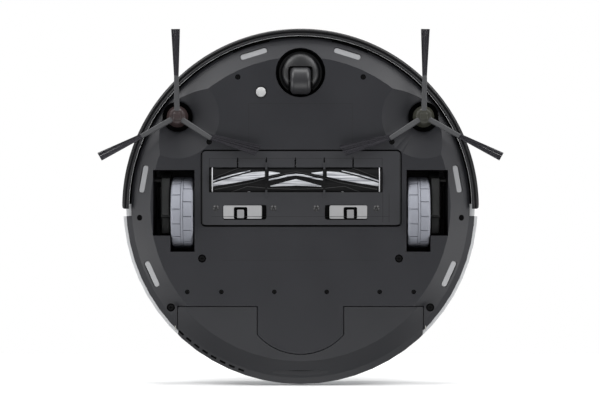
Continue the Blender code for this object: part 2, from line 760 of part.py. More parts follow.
def top_lid():
    """The lid, with the round knuckle along its rear edge, turning about the pin."""
    origin = (0, HINGE_Y, HINGE_Z)
    turns = [math.radians(angle) for angle in range(90, 271, 20)]
    knuckle = [
        (HINGE_Y + HINGE_RADIUS * math.cos(turn), HINGE_Z + HINGE_RADIUS * math.sin(turn)) for turn in turns
    ]
    under = BODY_HEIGHT - LID_THICKNESS
    profile = [*knuckle, (HINGE_Y, under - 0.001), (HINGE_Y + 0.004, under), (LID_FRONT, under)]
    profile.append((LID_FRONT, BODY_HEIGHT))
    lid = add_object("top_lid", prism(profile, -LID_HALF_WIDTH, LID_HALF_WIDTH, "X"), SHELL_WHITE, origin)
    keep(lid, prism(lid_plan(0.0), 0.0, 0.2))
    cut(lid, cylinder((HINGE_Y, HINGE_Z), HINGE_PIN_RADIUS + RUNNING_GAP, -0.1, 0.1, "X", 12))
    pin_end = LID_HALF_WIDTH + 0.0030
    pin = cylinder((HINGE_Y, HINGE_Z), HINGE_PIN_RADIUS, -pin_end, pin_end, "X", 12)
    add_object("lid_hinge_pin", pin, STEEL)


def buttons():
    """Two round keys in front of the turret."""
    for name, sign in (("start_button", -1), ("home_button", 1)):
        foot = DECK_UNDER - 0.0010
        top = BODY_HEIGHT + 0.0006
        profile = [
            (0, foot),
            (BUTTON_RADIUS, foot),
            (BUTTON_RADIUS, top - 0.0006),
            (BUTTON_RADIUS - 0.0008, top),
            (0, top),
        ]
        centre = (sign * BUTTON_X, BUTTON_Y)
        add_object(name, turned(profile, centre, facets=24), SHELL_WHITE, (*centre, BODY_HEIGHT))


# ---------------------------------------------------------------- bumper


def bumper():
    """Half a ring with an inward lip at its foot."""
    top = WALL_TOP - BUMPER_TOP_GAP
    inner = BODY_RADIUS - BUMPER_WALL
    lip_top = BUMPER_FOOT + 0.0020
    profile = [
        (inner - BUMPER_LIP, BUMPER_FOOT),
        (inner, BUMPER_FOOT),
        (BODY_RADIUS - 0.0006, BUMPER_FOOT + 0.0012),
        (BODY_RADIUS, BUMPER_FOOT + 0.0035),
        (BODY_RADIUS, top - 0.002),
        (BODY_RADIUS - 0.0006, top),
        (inner, top),
        (inner, lip_top),
        (inner - BUMPER_LIP, lip_top),
    ]
    add_object("bumper", turned(profile, start=0.0, end=180.0), BUMPER_BLACK)
    for side, sign in SIDES.items():
        reach = FRONT_WALL_RADIUS + SWITCH_GAP
        spot = Vector((sign * SWITCH_X, math.sqrt(reach**2 - SWITCH_X**2), SWITCH_Z))
        turn = Matrix.Rotation(-sign * math.asin(SWITCH_X / reach), 4, "Z")
        body = block((-0.006, -0.0022, -0.004), (0.006, 0.0004, 0.004))
        add_object(f"bumper_switch_{side}", moved(body, Matrix.Translation(spot) @ turn), DARK_PLASTIC)


# ---------------------------------------------------------------- wheels


def drive_wheel(side, sign):
    """A hub with a stub axle into the gearbox, and the tyre round it."""
    axle = (sign * WHEEL_X, WHEEL_Y, WHEEL_RADIUS)
    inner_x, outer_x = WHEEL_X - WHEEL_WIDTH / 2, WHEEL_X + WHEEL_WIDTH / 2
    low, high = sorted((sign * inner_x, sign * outer_x))
    shoulder = 0.0020
    tyre_profile = [
        (HUB_RADIUS + RUNNING_GAP, low),
        (WHEEL_RADIUS - shoulder, low),
        (WHEEL_RADIUS, low + shoulder),
        (WHEEL_RADIUS, high - shoulder),
        (WHEEL_RADIUS - shoulder, high),
        (HUB_RADIUS + RUNNING_GAP, high),
    ]
    centre = (WHEEL_Y, WHEEL_RADIUS)
    tyre = add_object(f"wheel_tyre_{side}", turned(tyre_profile, centre, "X", facets=40), TYRE_GREY, axle)
    hub_in, hub_out = sign * (inner_x + 0.0010), sign * (outer_x - 0.0010)
    stub_end = sign * (ARM_X + 0.0060)
    hub_profile = [(0, hub_in), (HUB_RADIUS, hub_in), (HUB_RADIUS, hub_out), (AXLE_RADIUS, hub_out)]
    hub_profile += [(AXLE_RADIUS, stub_end), (0, stub_end)]
    hub = add_object(f"wheel_hub_{side}", turned(hub_profile, centre, "X", facets=28), DARK_PLASTIC, axle)
    ride_on(tyre, hub)
    return hub


def wheel_arm(side, sign):
    """The gearbox that swings on the pivot pin and carries the wheel, its motor on top."""
    pivot = (sign * (ARM_X + ARM_WIDTH / 2), PIVOT_Y, PIVOT_Z)
    low, high = sorted((sign * ARM_X, sign * (ARM_X + ARM_WIDTH)))
    ends = (
        (PIVOT_Y, PIVOT_Z, ARM_PIVOT_END),
        (WHEEL_Y, WHEEL_RADIUS, ARM_AXLE_END),
        (SPRING_Y, SPRING_SEAT_Z, ARM_SPRING_END),
    )
    outline = wrapped_circles(ends, 20)
    arm = add_object(f"wheel_arm_{side}", prism(outline, low, high, "X"), DARK_PLASTIC, pivot)
    cut(arm, cylinder((PIVOT_Y, PIVOT_Z), PIVOT_RADIUS + RUNNING_GAP, low - 0.01, high + 0.01, "X", 16))
    bore_low, bore_high = sorted((sign * (ARM_X - 0.01), sign * (ARM_X + 0.0070)))
    cut(arm, cylinder((WHEEL_Y, WHEEL_RADIUS), AXLE_RADIUS + RUNNING_GAP, bore_low, bore_high, "X", 20))
    ride_on(drive_wheel(side, sign), arm)
    motor_spot = (pivot[0], WHEEL_MOTOR_Z)
    motor = cylinder(motor_spot, WHEEL_MOTOR_RADIUS, WHEEL_MOTOR_REAR, WHEEL_MOTOR_FRONT, "Y", 20)
    ride_on(add_object(f"wheel_motor_{side}", motor, MOTOR_STEEL, pivot), arm)
    pin_low, pin_high = sorted((sign * (ARM_X - 0.0006), sign * (WELL_OUT + 0.0040)))
    pin = cylinder((PIVOT_Y, PIVOT_Z), PIVOT_RADIUS, pin_low, pin_high, "X", 16)
    add_object(f"arm_pivot_pin_{side}", pin, STEEL)
    seat = SPRING_SEAT_Z + ARM_SPRING_END + 2 * SPRING_WIRE
    coil = spring((pivot[0], SPRING_Y), seat, WELL_TOP - 2 * SPRING_WIRE)
    add_object(f"suspension_spring_{side}", coil, STEEL)


def spring(centre, low, high):
    """A coil spring: a four-sided wire wound round an upright axis."""
    shape = bmesh.new()
    steps = 8 * SPRING_TURNS
    rings = []
    for i in range(steps + 1):
        angle = 2 * math.pi * i / 8
        height = low + (high - low) * i / steps
        ring = []
        for j in range(4):
            across = SPRING_RADIUS + SPRING_WIRE * math.cos(math.pi * j / 2)
            z = height + SPRING_WIRE * math.sin(math.pi * j / 2)
            point = (centre[0] + across * math.cos(angle), centre[1] + across * math.sin(angle), z)
            ring.append(shape.verts.new(point))
        rings.append(ring)
    for first, second in zip(rings, rings[1:]):
        for j in range(4):
            k = (j + 1) % 4
            shape.faces.new((first[j], first[k], second[k], second[j]))
    shape.faces.new(rings[0])
    shape.faces.new(rings[-1])
    return shape


# ---------------------------------------------------------------- caster


def caster():
    """A domed swivel in a round socket, with the wheel behind the stem."""
    wheel_y = CASTER_Y - CASTER_TRAIL
    disc = SOCKET_RADIUS - 0.0006
    fork_profile = [
        (0, DOME_FOOT),
        (0.0120, DOME_FOOT + 0.0010),
        (0.0180, DOME_FOOT + 0.0038),
        (disc, DOME_FOOT + 0.0060),
        (disc, DOME_FOOT + 0.0120),
        (0.0160, SOCKET_TOP - 0.0025),
        (0.0120, SOCKET_TOP - 0.0007),
        (STEM_RADIUS, SOCKET_TOP - 0.0007),
        (STEM_RADIUS, STEM_TOP),
        (0, STEM_TOP),
    ]
    origin = (0, CASTER_Y, CASTER_RADIUS)
    fork = add_object("caster_fork", turned(fork_profile, (0, CASTER_Y), facets=28), DARK_PLASTIC, origin)
    slot = CASTER_WIDTH / 2 + 0.0008
    cheek = slot + CHEEK_THICKNESS
    cheek_foot, cheek_top = CASTER_RADIUS - 0.0050, CASTER_RADIUS + 0.0035
    join(fork, block((-cheek, wheel_y - 0.0060, cheek_foot), (cheek, wheel_y + 0.0060, cheek_top)))
    wheel_room = CASTER_RADIUS + 0.0012
    cut(fork, cylinder((wheel_y, CASTER_RADIUS), wheel_room, -slot, slot, "X", 24))
    cut(fork, block((-slot, wheel_y - wheel_room, 0.0), (slot, wheel_y + wheel_room, CASTER_RADIUS)))
    pin_end = cheek - 0.0014
    pin_hole = CASTER_AXLE_RADIUS + RUNNING_GAP
    cut(fork, cylinder((wheel_y, CASTER_RADIUS), pin_hole, -pin_end - 0.0002, pin_end + 0.0002, "X", 12))
    half = CASTER_WIDTH / 2
    wheel_profile = [
        (pin_hole, -half),
        (CASTER_RADIUS - 0.0020, -half),
        (CASTER_RADIUS, -half + 0.0030),
        (CASTER_RADIUS, half - 0.0030),
        (CASTER_RADIUS - 0.0020, half),
        (pin_hole, half),
    ]
    axle = (0, wheel_y, CASTER_RADIUS)
    wheel_shape = turned(wheel_profile, (wheel_y, CASTER_RADIUS), "X", facets=28)
    wheel = add_object("caster_wheel", wheel_shape, BRUSH_BLACK, axle)
    pin = cylinder((wheel_y, CASTER_RADIUS), CASTER_AXLE_RADIUS, -pin_end, pin_end, "X", 12)
    ride_on(wheel, fork)
    ride_on(add_object("caster_axle", pin, STEEL, axle), fork)


# ---------------------------------------------------------------- brushes


def side_brush(side, sign):
    """A hub with three stiff arms that thin out into flat tufts."""
    centre = (sign * SIDE_BRUSH_X, SIDE_BRUSH_Y)
    hub_profile = [
        (0, SIDE_HUB_FOOT),
        (SIDE_HUB_RADIUS - 0.0010, SIDE_HUB_FOOT),
        (SIDE_HUB_RADIUS, SIDE_HUB_FOOT + 0.0012),
        (SIDE_HUB_RADIUS, SIDE_HUB_TOP),
        (SIDE_SHAFT_RADIUS, SIDE_HUB_TOP),
        (SIDE_SHAFT_RADIUS, SIDE_SHAFT_TOP),
        (0, SIDE_SHAFT_TOP),
    ]
    brush = add_object(
        f"side_brush_{side}", turned(hub_profile, centre, facets=24), HUB_COLOURS[side], (*centre, 0.006)
    )
    # distance from the hub's axis, half the width, underside and top of each section of an arm
    stations = (
        (0.0040, 0.0028, 0.0052, 0.0086),
        (SIDE_ARM_LENGTH * 0.5, 0.0026, 0.0034, 0.0064),
        (SIDE_ARM_LENGTH, 0.0023, 0.0020, 0.0044),
        (SIDE_BRUSH_REACH, 0.0042, 0.0003, 0.0008),
    )
    for arm_angle in SIDE_ARM_ANGLES:
        angle = math.radians(arm_angle if sign > 0 else 180.0 - arm_angle)
        shape = bmesh.new()
        rings = []
        for distance, half_width, low, high in stations:
            ring = []
            for across, height in ((-1, low), (1, low), (1, high), (-1, high)):
                x = centre[0] + distance * math.cos(angle) - across * half_width * math.sin(angle)
                y = centre[1] + distance * math.sin(angle) + across * half_width * math.cos(angle)
                ring.append(shape.verts.new((x, y, height)))
            rings.append(ring)
        for first, second in zip(rings, rings[1:]):
            for j in range(4):
                k = (j + 1) % 4
                shape.faces.new((first[j], first[k], second[k], second[j]))
        shape.faces.new(rings[0])
        shape.faces.new(rings[-1])
        join(brush, shape)
    motor = cylinder(centre, MOTOR_RADIUS, SIDE_MOTOR_FOOT, SIDE_MOTOR_TOP, facets=24)
    add_object(f"side_brush_motor_{side}", motor, MOTOR_STEEL)


def roller_brush():
    """A core with strips that run in a V from both ends, and a groove at each rib of the cover."""
    centre_x = (BRUSH_LEFT + BRUSH_RIGHT) / 2
    half = (BRUSH_RIGHT - BRUSH_LEFT) / 2
    groove = 0.0035
    stops = [(BRUSH_LEFT, True), (centre_x, True), (BRUSH_RIGHT, True)]
    for fraction in (0.25, 0.5, 0.75):
        stops += [(centre_x - half * fraction, True), (centre_x + half * fraction, True)]
    stops = [stop for stop in stops if all(abs(stop[0] - rib) > groove + 0.002 for rib in RIB_SPOTS)]
    for rib in RIB_SPOTS:
        stops += [(rib - groove - 0.0004, True), (rib - groove, False), (rib + groove, False)]
        stops.append((rib + groove + 0.0004, True))
    shape = bmesh.new()
    rings = []
    for x, strips in sorted(stops):
        twist = math.radians(BRUSH_TWIST) * abs(x - centre_x) / half
        ring = []
        for i in range(BRUSH_STRIPS):
            start = twist + 2 * math.pi * i / BRUSH_STRIPS
            for turn, tall in ((0.0, True), (0.20, True), (0.26, False), (0.98, False)):
                radius = BRUSH_RADIUS if tall and strips else BRUSH_CORE
                angle = start + turn
                point = (x, BRUSH_Y + radius * math.cos(angle), BRUSH_Z + radius * math.sin(angle))
                ring.append(shape.verts.new(point))
        rings.append(ring)
    for first, second in zip(rings, rings[1:]):
        for j in range(len(first)):
            k = (j + 1) % len(first)
            shape.faces.new((first[j], first[k], second[k], second[j]))
    shape.faces.new(rings[0])
    shape.faces.new(rings[-1])
    brush = add_object("main_brush", shape, BRUSH_BLACK, (centre_x, BRUSH_Y, BRUSH_Z))
    centre = (BRUSH_Y, BRUSH_Z)
    join(brush, cylinder(centre, DRIVE_STUB_RADIUS, BRUSH_LEFT - 0.0040, BRUSH_LEFT + 0.0010, "X", 6))
    join(brush, cylinder(centre, IDLE_STUB_RADIUS, BRUSH_RIGHT - 0.0010, BRUSH_RIGHT + 0.0050, "X", 16))
    cap_low, cap_high = BRUSH_RIGHT + 0.0008, BRUSH_RIGHT + 0.0058
    cap = tube(centre, IDLE_STUB_RADIUS + RUNNING_GAP, END_CAP_RADIUS, cap_low, cap_high, "X", 24)
    add_object("brush_end_cap", cap, DARK_PLASTIC)


def brush_housing():
    """The tunnel over the roller, with a flange on the tray's floor and the duct mouth at the rear."""
    left, right = BRUSH_LEFT - 0.0047, COVER_RIGHT + 0.0009
    outer = BRUSH_RADIUS + HOUSING_GAP + HOUSING_WALL
    inner = outer - HOUSING_WALL
    centre = (BRUSH_Y, BRUSH_Z)
    flange_low = FLOOR_TOP + 0.0003
    housing = add_object("brush_housing", cylinder(centre, outer, left, right, "X", 36), DARK_PLASTIC)
    join(housing, block((left, BRUSH_Y - outer, flange_low), (right, BRUSH_Y + outer, BRUSH_Z)))
    side_room = WELL_IN - WELL_WALL - 0.0009
    join(
        housing,
        block(
            (-side_room, COVER_REAR - 0.0045, flange_low),
            (side_room, COVER_FRONT + 0.0040, flange_low + HOUSING_WALL),
        ),
    )
    cut(housing, cylinder(centre, inner, left + HOUSING_WALL, right - HOUSING_WALL, "X", 36))
    cut(
        housing,
        block((left + HOUSING_WALL, BRUSH_Y - inner, 0.0), (right - HOUSING_WALL, BRUSH_Y + inner, BRUSH_Z)),
    )
    cut(housing, block((-0.11, -0.05, 0.0), (0.11, 0.07, flange_low)))
    duct_low = (-DUCT_HALF_WIDTH, BRUSH_Y - outer - 0.005, DUCT_FOOT)
    cut(housing, block(duct_low, (DUCT_HALF_WIDTH, BRUSH_Y - BRUSH_CORE, DUCT_FOOT + DUCT_HEIGHT)))
    cut(housing, cylinder(centre, DRIVE_STUB_RADIUS + 0.0006, left - 0.005, left + 0.01, "X", 20))
    for sign in SIDES.values():
        cut(housing, scoop_shape(f"scoop_room_{sign}", sign, WALL + GAP))
    gearbox_x = (COVER_LEFT + 0.0005, left - GAP)
    motor_centre = (BRUSH_MOTOR_Y, BRUSH_MOTOR_Z)
    case = wrapped_circles(((*centre, 0.0115), (*motor_centre, MOTOR_RADIUS + 0.0010)), 20)
    gearbox = add_object("brush_gearbox", prism(case, *gearbox_x, "X"), DARK_PLASTIC)
    cut(gearbox, block((-0.2, 0.0, 0.0), (0.0, 0.04, flange_low + HOUSING_WALL + GAP)))
    motor = cylinder(motor_centre, MOTOR_RADIUS, gearbox_x[1] + GAP, -BATTERY_HALF_WIDTH - 0.0020, "X", 24)
    add_object("brush_motor", motor, MOTOR_STEEL)


def brush_cover():
    """The guard that holds the roller: a comb and two ribs over its mouth, two latches at the rear."""
    hinge = (0, COVER_FRONT - 0.0010, COVER_BOTTOM + COVER_THICKNESS / 2)
    plan = rounded_rectangle((COVER_LEFT, COVER_REAR), (COVER_RIGHT, COVER_FRONT), 0.004)
    cover = add_object("brush_cover", prism(plan, COVER_BOTTOM, COVER_TOP), COVER_GREY, hinge)
    mouth = rounded_rectangle((MOUTH_LEFT, MOUTH_REAR), (MOUTH_RIGHT, MOUTH_FRONT), 0.0015, 2)
    cut(cover, prism(mouth, 0.0, 0.02))
    room_low, room_high = BRUSH_LEFT - 0.0006, BRUSH_RIGHT + 0.0006
    room_radius = BRUSH_RADIUS + 0.0007
    cut(cover, cylinder((BRUSH_Y, BRUSH_Z), room_radius, room_low, room_high, "X", 36))
    rib_reach = 0.0010 + math.sqrt(room_radius**2 - (BRUSH_Z - COVER_TOP) ** 2)
    slits = [block((x - 0.0007, MOUTH_FRONT - 0.002, 0.0), (x + 0.0007, 0.0470, 0.02)) for x in SLIT_SPOTS]
    cut(cover, merged(*slits))
    for rib in RIB_SPOTS:
        join(
            cover,
            block(
                (rib - 0.0010, BRUSH_Y - rib_reach, COVER_BOTTOM - 0.0008),
                (rib + 0.0010, BRUSH_Y + rib_reach, COVER_BOTTOM + 0.0018),
            ),
        )
    for left, right in LATCH_SPOTS:
        room_left = left - 0.0006 - (LATCH_TRAVEL if left > 0 else 0.0)
        room_right = right + 0.0006 + (LATCH_TRAVEL if left < 0 else 0.0)
        room_rear, room_front = LATCH_REAR - 0.0010, LATCH_FRONT + 0.0006
        pocket = rounded_rectangle((room_left, room_rear), (room_right, room_front), 0.003)
        cut(cover, prism(pocket, 0.0, 0.02))
        latch(cover, left, right)


def latch(cover, left, right):
    """A sprung slide with a thumb notch, which moves towards the middle to let the cover go."""
    outline = rounded_rectangle((left, LATCH_REAR), (right, LATCH_FRONT), 0.003)
    name = "cover_latch_left" if left < 0 else "cover_latch_right"
    origin = ((left + right) / 2, (LATCH_REAR + LATCH_FRONT) / 2, COVER_BOTTOM)
    slide = add_object(name, prism(outline, COVER_BOTTOM + 0.0002, COVER_TOP - 0.0002), LATCH_GREY, origin)
    middle = (left + right) / 2
    notch = rounded_rectangle((middle - 0.0068, LATCH_REAR - 0.010), (middle + 0.0068, -0.0050), 0.003)
    cut(slide, prism(notch, 0.0, 0.02))
    ride_on(slide, cover)


# ---------------------------------------------------------------- water tank


def tank_blank(inset):
    """The tank's outer form, in line with the tray's underside, or a form that much inside it."""
    rim = BODY_RADIUS - 0.0010 - inset
    return turned(
        [
            (0, CLEARANCE_UNDER + inset),
            (FLAT_RADIUS + 0.004 - inset / 2, CLEARANCE_UNDER + inset),
            (BAND_RADIUS + 0.002 - inset, BAND_TOP + inset),
            (rim, WALL_FOOT + 0.001 + inset),
            (rim, TANK_TOP - inset),
            (0, TANK_TOP - inset),
        ]
    )


def water_tank():
    """The hollow tank behind, with a finger recess below its rear edge and a plugged filler on top."""
    tank = add_object("water_tank", tank_blank(0.0), TRAY_GREY)
    keep(tank, prism(tank_outline(-GAP, -GAP), 0.0, 0.1))
    hollow = add_helper("tank_hollow", tank_blank(TANK_WALL))
    keep(hollow, prism(tank_outline(-TANK_WALL - GAP, -TANK_WALL - GAP), 0.0, 0.1))
    grip_wall = 0.0018
    grip_room = block(
        (-GRIP_HALF_WIDTH - grip_wall, GRIP_REAR - grip_wall, 0.0),
        (GRIP_HALF_WIDTH + grip_wall, GRIP_FRONT + grip_wall, CLEARANCE_UNDER + GRIP_DEPTH + grip_wall),
    )
    cut(hollow, grip_room)
    cut(tank, hollow)
    grip = rounded_rectangle((-GRIP_HALF_WIDTH, GRIP_REAR), (GRIP_HALF_WIDTH, GRIP_FRONT), 0.0030)
    cut(tank, prism(grip, 0.0, CLEARANCE_UNDER + GRIP_DEPTH))
    filler_foot = TANK_TOP - PLUG_DEPTH - 0.0005
    cut(tank, cylinder(FILLER_SPOT, FILLER_RADIUS, filler_foot, TANK_TOP + 0.01, facets=20))
    plug_profile = [
        (0, TANK_TOP - PLUG_DEPTH),
        (FILLER_RADIUS - RUNNING_GAP, TANK_TOP - PLUG_DEPTH),
        (FILLER_RADIUS - RUNNING_GAP, TANK_TOP - 0.0002),
        (0, TANK_TOP - 0.0002),
    ]
    plug = add_object("tank_plug", turned(plug_profile, FILLER_SPOT, facets=20), BRUSH_BLACK)
    ride_on(plug, tank)


# ---------------------------------------------------------------- dust bin


def dust_bin():
    """A box open at the front to the duct and at the rear to the filter, with a fold-down handle."""
    origin = (0, (BIN_FRONT + BIN_REAR) / 2, BIN_TOP)
    low = (-BIN_HALF_WIDTH, BIN_REAR, BIN_FOOT)
    high = (BIN_HALF_WIDTH, BIN_FRONT, BIN_TOP)
    plan = rounded_rectangle(low, high, BIN_CORNER, 2)
    bin_box = add_object("dust_bin", prism(plan, BIN_FOOT, BIN_TOP), CLEAR_SMOKE, origin)
    ear_top = HANDLE_Z + 0.0018
    for sign in SIDES.values():
        ear_low, ear_high = sorted((sign * (HANDLE_HALF_WIDTH + 0.0008), sign * (HANDLE_HALF_WIDTH + 0.0038)))
        ear_foot, ear_rear, ear_front = BIN_TOP - 0.001, HANDLE_PIVOT_Y - 0.003, HANDLE_PIVOT_Y + 0.003
        join(bin_box, block((ear_low, ear_rear, ear_foot), (ear_high, ear_front, ear_top)))
    inner_low = tuple(value + BIN_WALL for value in low)
    inner_high = tuple(value - BIN_WALL for value in high)
    room = rounded_rectangle(inner_low, inner_high, BIN_CORNER - BIN_WALL, 2)
    cut(bin_box, prism(room, inner_low[2], inner_high[2]))
    inlet_low = (-DUCT_HALF_WIDTH, BIN_FRONT - 0.01, DUCT_FOOT + 0.0020)
    cut(bin_box, block(inlet_low, (DUCT_HALF_WIDTH, BIN_FRONT + 0.01, DUCT_FOOT + DUCT_HEIGHT + 0.0040)))
    frame_low = (-FILTER_HALF_WIDTH, BIN_REAR - 0.01, FILTER_FOOT)
    cut(bin_box, block(frame_low, (FILTER_HALF_WIDTH, BIN_REAR + 0.01, FILTER_TOP)))
    cut(bin_box, cylinder((HANDLE_PIVOT_Y, HANDLE_Z), HANDLE_PIN_RADIUS + RUNNING_GAP, -0.04, 0.04, "X", 12))
    half = FILTER_HALF_WIDTH - GAP
    pleats = [(-half, BIN_REAR + GAP)]
    for i in range(FILTER_PLEATS):
        x = half * (2 * (i + 0.5) / FILTER_PLEATS - 1)
        pleats.append((x, BIN_REAR + (0.0060 if i % 2 else 0.0030)))
    pleats.append((half, BIN_REAR + GAP))
    paper = prism(pleats, FILTER_FOOT + GAP, FILTER_TOP - GAP)
    ride_on(add_object("bin_filter", paper, FILTER_WHITE), bin_box)
    handle(bin_box)


def handle(bin_box):
    """A bail that lies flat on the bin and stands up for lifting it out."""
    pivot = (0, HANDLE_PIVOT_Y, HANDLE_Z)
    low_z, high_z = HANDLE_Z - HANDLE_THICKNESS / 2, HANDLE_Z + HANDLE_THICKNESS / 2
    rear, front = HANDLE_PIVOT_Y - HANDLE_THICKNESS / 2, HANDLE_PIVOT_Y + HANDLE_LENGTH
    half, inner, bar = HANDLE_HALF_WIDTH, HANDLE_HALF_WIDTH - 0.004, front - 0.005
    outline = [(-half, rear), (-half, front), (half, front), (half, rear)]
    outline += [(inner, rear), (inner, bar), (-inner, bar), (-inner, rear)]
    bail = add_object("bin_handle", prism(outline, low_z, high_z), LATCH_GREY, pivot)
    for sign in SIDES.values():
        low, high = sorted((sign * (half - 0.001), sign * (half + 0.0032)))
        join(bail, cylinder((HANDLE_PIVOT_Y, HANDLE_Z), HANDLE_PIN_RADIUS, low, high, "X", 12))
    ride_on(bail, bin_box)


# ---------------------------------------------------------------- laser turret


def laser_turret():
    """A cap on posts over a spinning rotor, which runs on a spigot and is driven by a belt."""
    centre = (0, TURRET_Y)
    foot = BODY_HEIGHT + 0.0003
    top = foot + TURRET_HEIGHT
    cap_profile = [
        (TURRET_RADIUS - 0.0025, foot),
        (TURRET_RADIUS, foot),
        (TURRET_RADIUS, top - 0.0035),
        (TURRET_RADIUS - 0.0015, top - 0.0008),
        (TURRET_RADIUS - 0.0040, top),
        (0, top),
        (0, top - 0.0020),
        (TURRET_RADIUS - 0.0045, top - 0.0020),
        (TURRET_RADIUS - 0.0025, top - 0.0040),
    ]
    cap = add_object("turret_cap", turned(cap_profile, centre, facets=36), SHELL_WHITE)
    window_low, window_high = foot + 0.0030, top - 0.0050
    for i in range(5):
        window = turned(
            [
                (TURRET_RADIUS - 0.008, window_low),
                (TURRET_RADIUS + 0.008, window_low),
                (TURRET_RADIUS + 0.008, window_high),
                (TURRET_RADIUS - 0.008, window_high),
            ],
            centre,
            start=72.0 * i - 31.0,
            end=72.0 * i + 31.0,
            facets=36,
        )
        cut(cap, window)
    spigot = 0.0050
    rotor_top = top - 0.0030
    pulley_top = SPINNER_FOOT + 0.0060
    spinner_profile = [
        (0, SPINNER_FOOT + 0.0090),
        (spigot + RUNNING_GAP, SPINNER_FOOT + 0.0090),
        (spigot + RUNNING_GAP, SPINNER_FOOT),
        (SPINNER_PULLEY, SPINNER_FOOT),
        (SPINNER_PULLEY, pulley_top),
        (0.0200, pulley_top),
        (0.0200, foot + 0.0010),
        (SPINNER_RADIUS, foot + 0.0010),
        (SPINNER_RADIUS, rotor_top - 0.0010),
        (SPINNER_RADIUS - 0.0010, rotor_top),
        (0, rotor_top),
    ]
    origin = (0, TURRET_Y, foot)
    spinner = add_object("lidar_spinner", turned(spinner_profile, centre, facets=30), DARK_PLASTIC, origin)
    optics_low = (-0.0200, TURRET_Y + 0.0240, foot + 0.0035)
    cut(spinner, block(optics_low, (0.0200, TURRET_Y + 0.05, rotor_top - 0.0015)))
    base_low = SPINNER_FOOT - 0.0030
    base_profile = [
        (0, base_low),
        (0.0350, base_low),
        (0.0350, base_low + 0.0025),
        (spigot, base_low + 0.0025),
        (spigot, SPINNER_FOOT + 0.0085),
        (0, SPINNER_FOOT + 0.0085),
    ]
    add_object("lidar_base", turned(base_profile, centre, facets=24), DARK_PLASTIC)
    belt_drive(pulley_top)


def belt_drive(pulley_top):
    """The small motor's pulley and the belt round it and the rotor."""
    turn = math.radians(PULLEY_ANGLE)
    motor_at = (PULLEY_SPACING * math.cos(turn), TURRET_Y + PULLEY_SPACING * math.sin(turn))
    belt_low, belt_high = SPINNER_FOOT + 0.0015, pulley_top - 0.0015
    pulley_profile = [
        (0, SPINNER_FOOT),
        (MOTOR_PULLEY, SPINNER_FOOT),
        (MOTOR_PULLEY, pulley_top),
        (0, pulley_top),
    ]
    origin = (*motor_at, SPINNER_FOOT)
    add_object("lidar_pulley", turned(pulley_profile, motor_at, facets=20), DARK_PLASTIC, origin)
    inner = ((0, TURRET_Y, SPINNER_PULLEY + RUNNING_GAP), (*motor_at, MOTOR_PULLEY + RUNNING_GAP))
    outer = [(x, y, radius + BELT_THICKNESS) for x, y, radius in inner]
    belt = add_object("lidar_belt", prism(wrapped_circles(outer, 28), belt_low, belt_high), BRUSH_BLACK)
    cut(belt, prism(wrapped_circles(inner, 28), belt_low - 0.001, belt_high + 0.001))
    motor_top = SPINNER_FOOT - GAP
    motor = cylinder(motor_at, LIDAR_MOTOR_RADIUS, motor_top - LIDAR_MOTOR_HEIGHT, motor_top)
    add_object("lidar_motor", motor, MOTOR_STEEL)


# ---------------------------------------------------------------- fan, battery, board


def fan():
    """A suction fan in a round case, open at the top, that blows out through a duct to the rear."""
    centre = (FAN_X, FAN_Y)
    case_top = FAN_FOOT + FAN_HEIGHT
    drum = cylinder(centre, FAN_RADIUS, FAN_FOOT, case_top, facets=28)
    case = add_object("fan_housing", drum, DARK_PLASTIC)
    place = Matrix.Translation((*centre, 0.0)) @ Matrix.Rotation(math.radians(FAN_OUTLET_ANGLE), 4, "Z")
    reach = fan_outlet_reach()
    duct = block((0.0, -0.0160, FAN_FOOT), (reach, 0.0160, case_top - 0.0020))
    join(case, moved(duct, place))
    cut(case, cylinder(centre, FAN_RADIUS - 0.0020, FAN_FOOT + 0.0020, case_top + 0.01, facets=28))
    bore = block((0.0030, -0.0142, FAN_FOOT + 0.0023), (reach + 0.01, 0.0138, case_top - 0.0040))
    cut(case, moved(bore, place))
    foot = FAN_FOOT + 0.0035
    disc = [(0, foot), (IMPELLER_RADIUS, foot), (IMPELLER_RADIUS, foot + 0.0015), (0.0075, foot + 0.0035)]
    disc += [(0.0060, foot + 0.0120), (0, foot + 0.0130)]
    impeller = add_object("fan_impeller", turned(disc, centre, facets=18), DARK_PLASTIC, (*centre, foot))
    for i in range(FAN_BLADES):
        angle = 2 * math.pi * i / FAN_BLADES
        blade = block((0.0050, -0.0005, foot + 0.0005), (IMPELLER_RADIUS - 0.0005, 0.0005, foot + 0.0090))
        lean = Matrix.Translation((*centre, 0.0)) @ Matrix.Rotation(angle, 4, "Z")
        lean = lean @ Matrix.Translation((0.010, 0, 0)) @ Matrix.Rotation(math.radians(-28), 4, "Z")
        lean = lean @ Matrix.Translation((-0.010, 0, 0))
        join(impeller, moved(blade, lean))
    motor_foot = foot + 0.0136
    motor = cylinder(centre, FAN_MOTOR_RADIUS, motor_foot, motor_foot + FAN_MOTOR_HEIGHT, facets=28)
    add_object("fan_motor", motor, MOTOR_STEEL)


def fan_outlet_reach():
    """How far the outlet duct runs from the fan's axis to end just inside the rear wall."""
    centre = Vector((FAN_X, FAN_Y))
    angle = math.radians(FAN_OUTLET_ANGLE)
    ahead = centre.dot(Vector((math.cos(angle), math.sin(angle))))
    end_radius = REAR_WALL_RADIUS - WALL - FAN_OUTLET_GAP
    return math.sqrt(ahead**2 - centre.length_squared + end_radius**2) - ahead


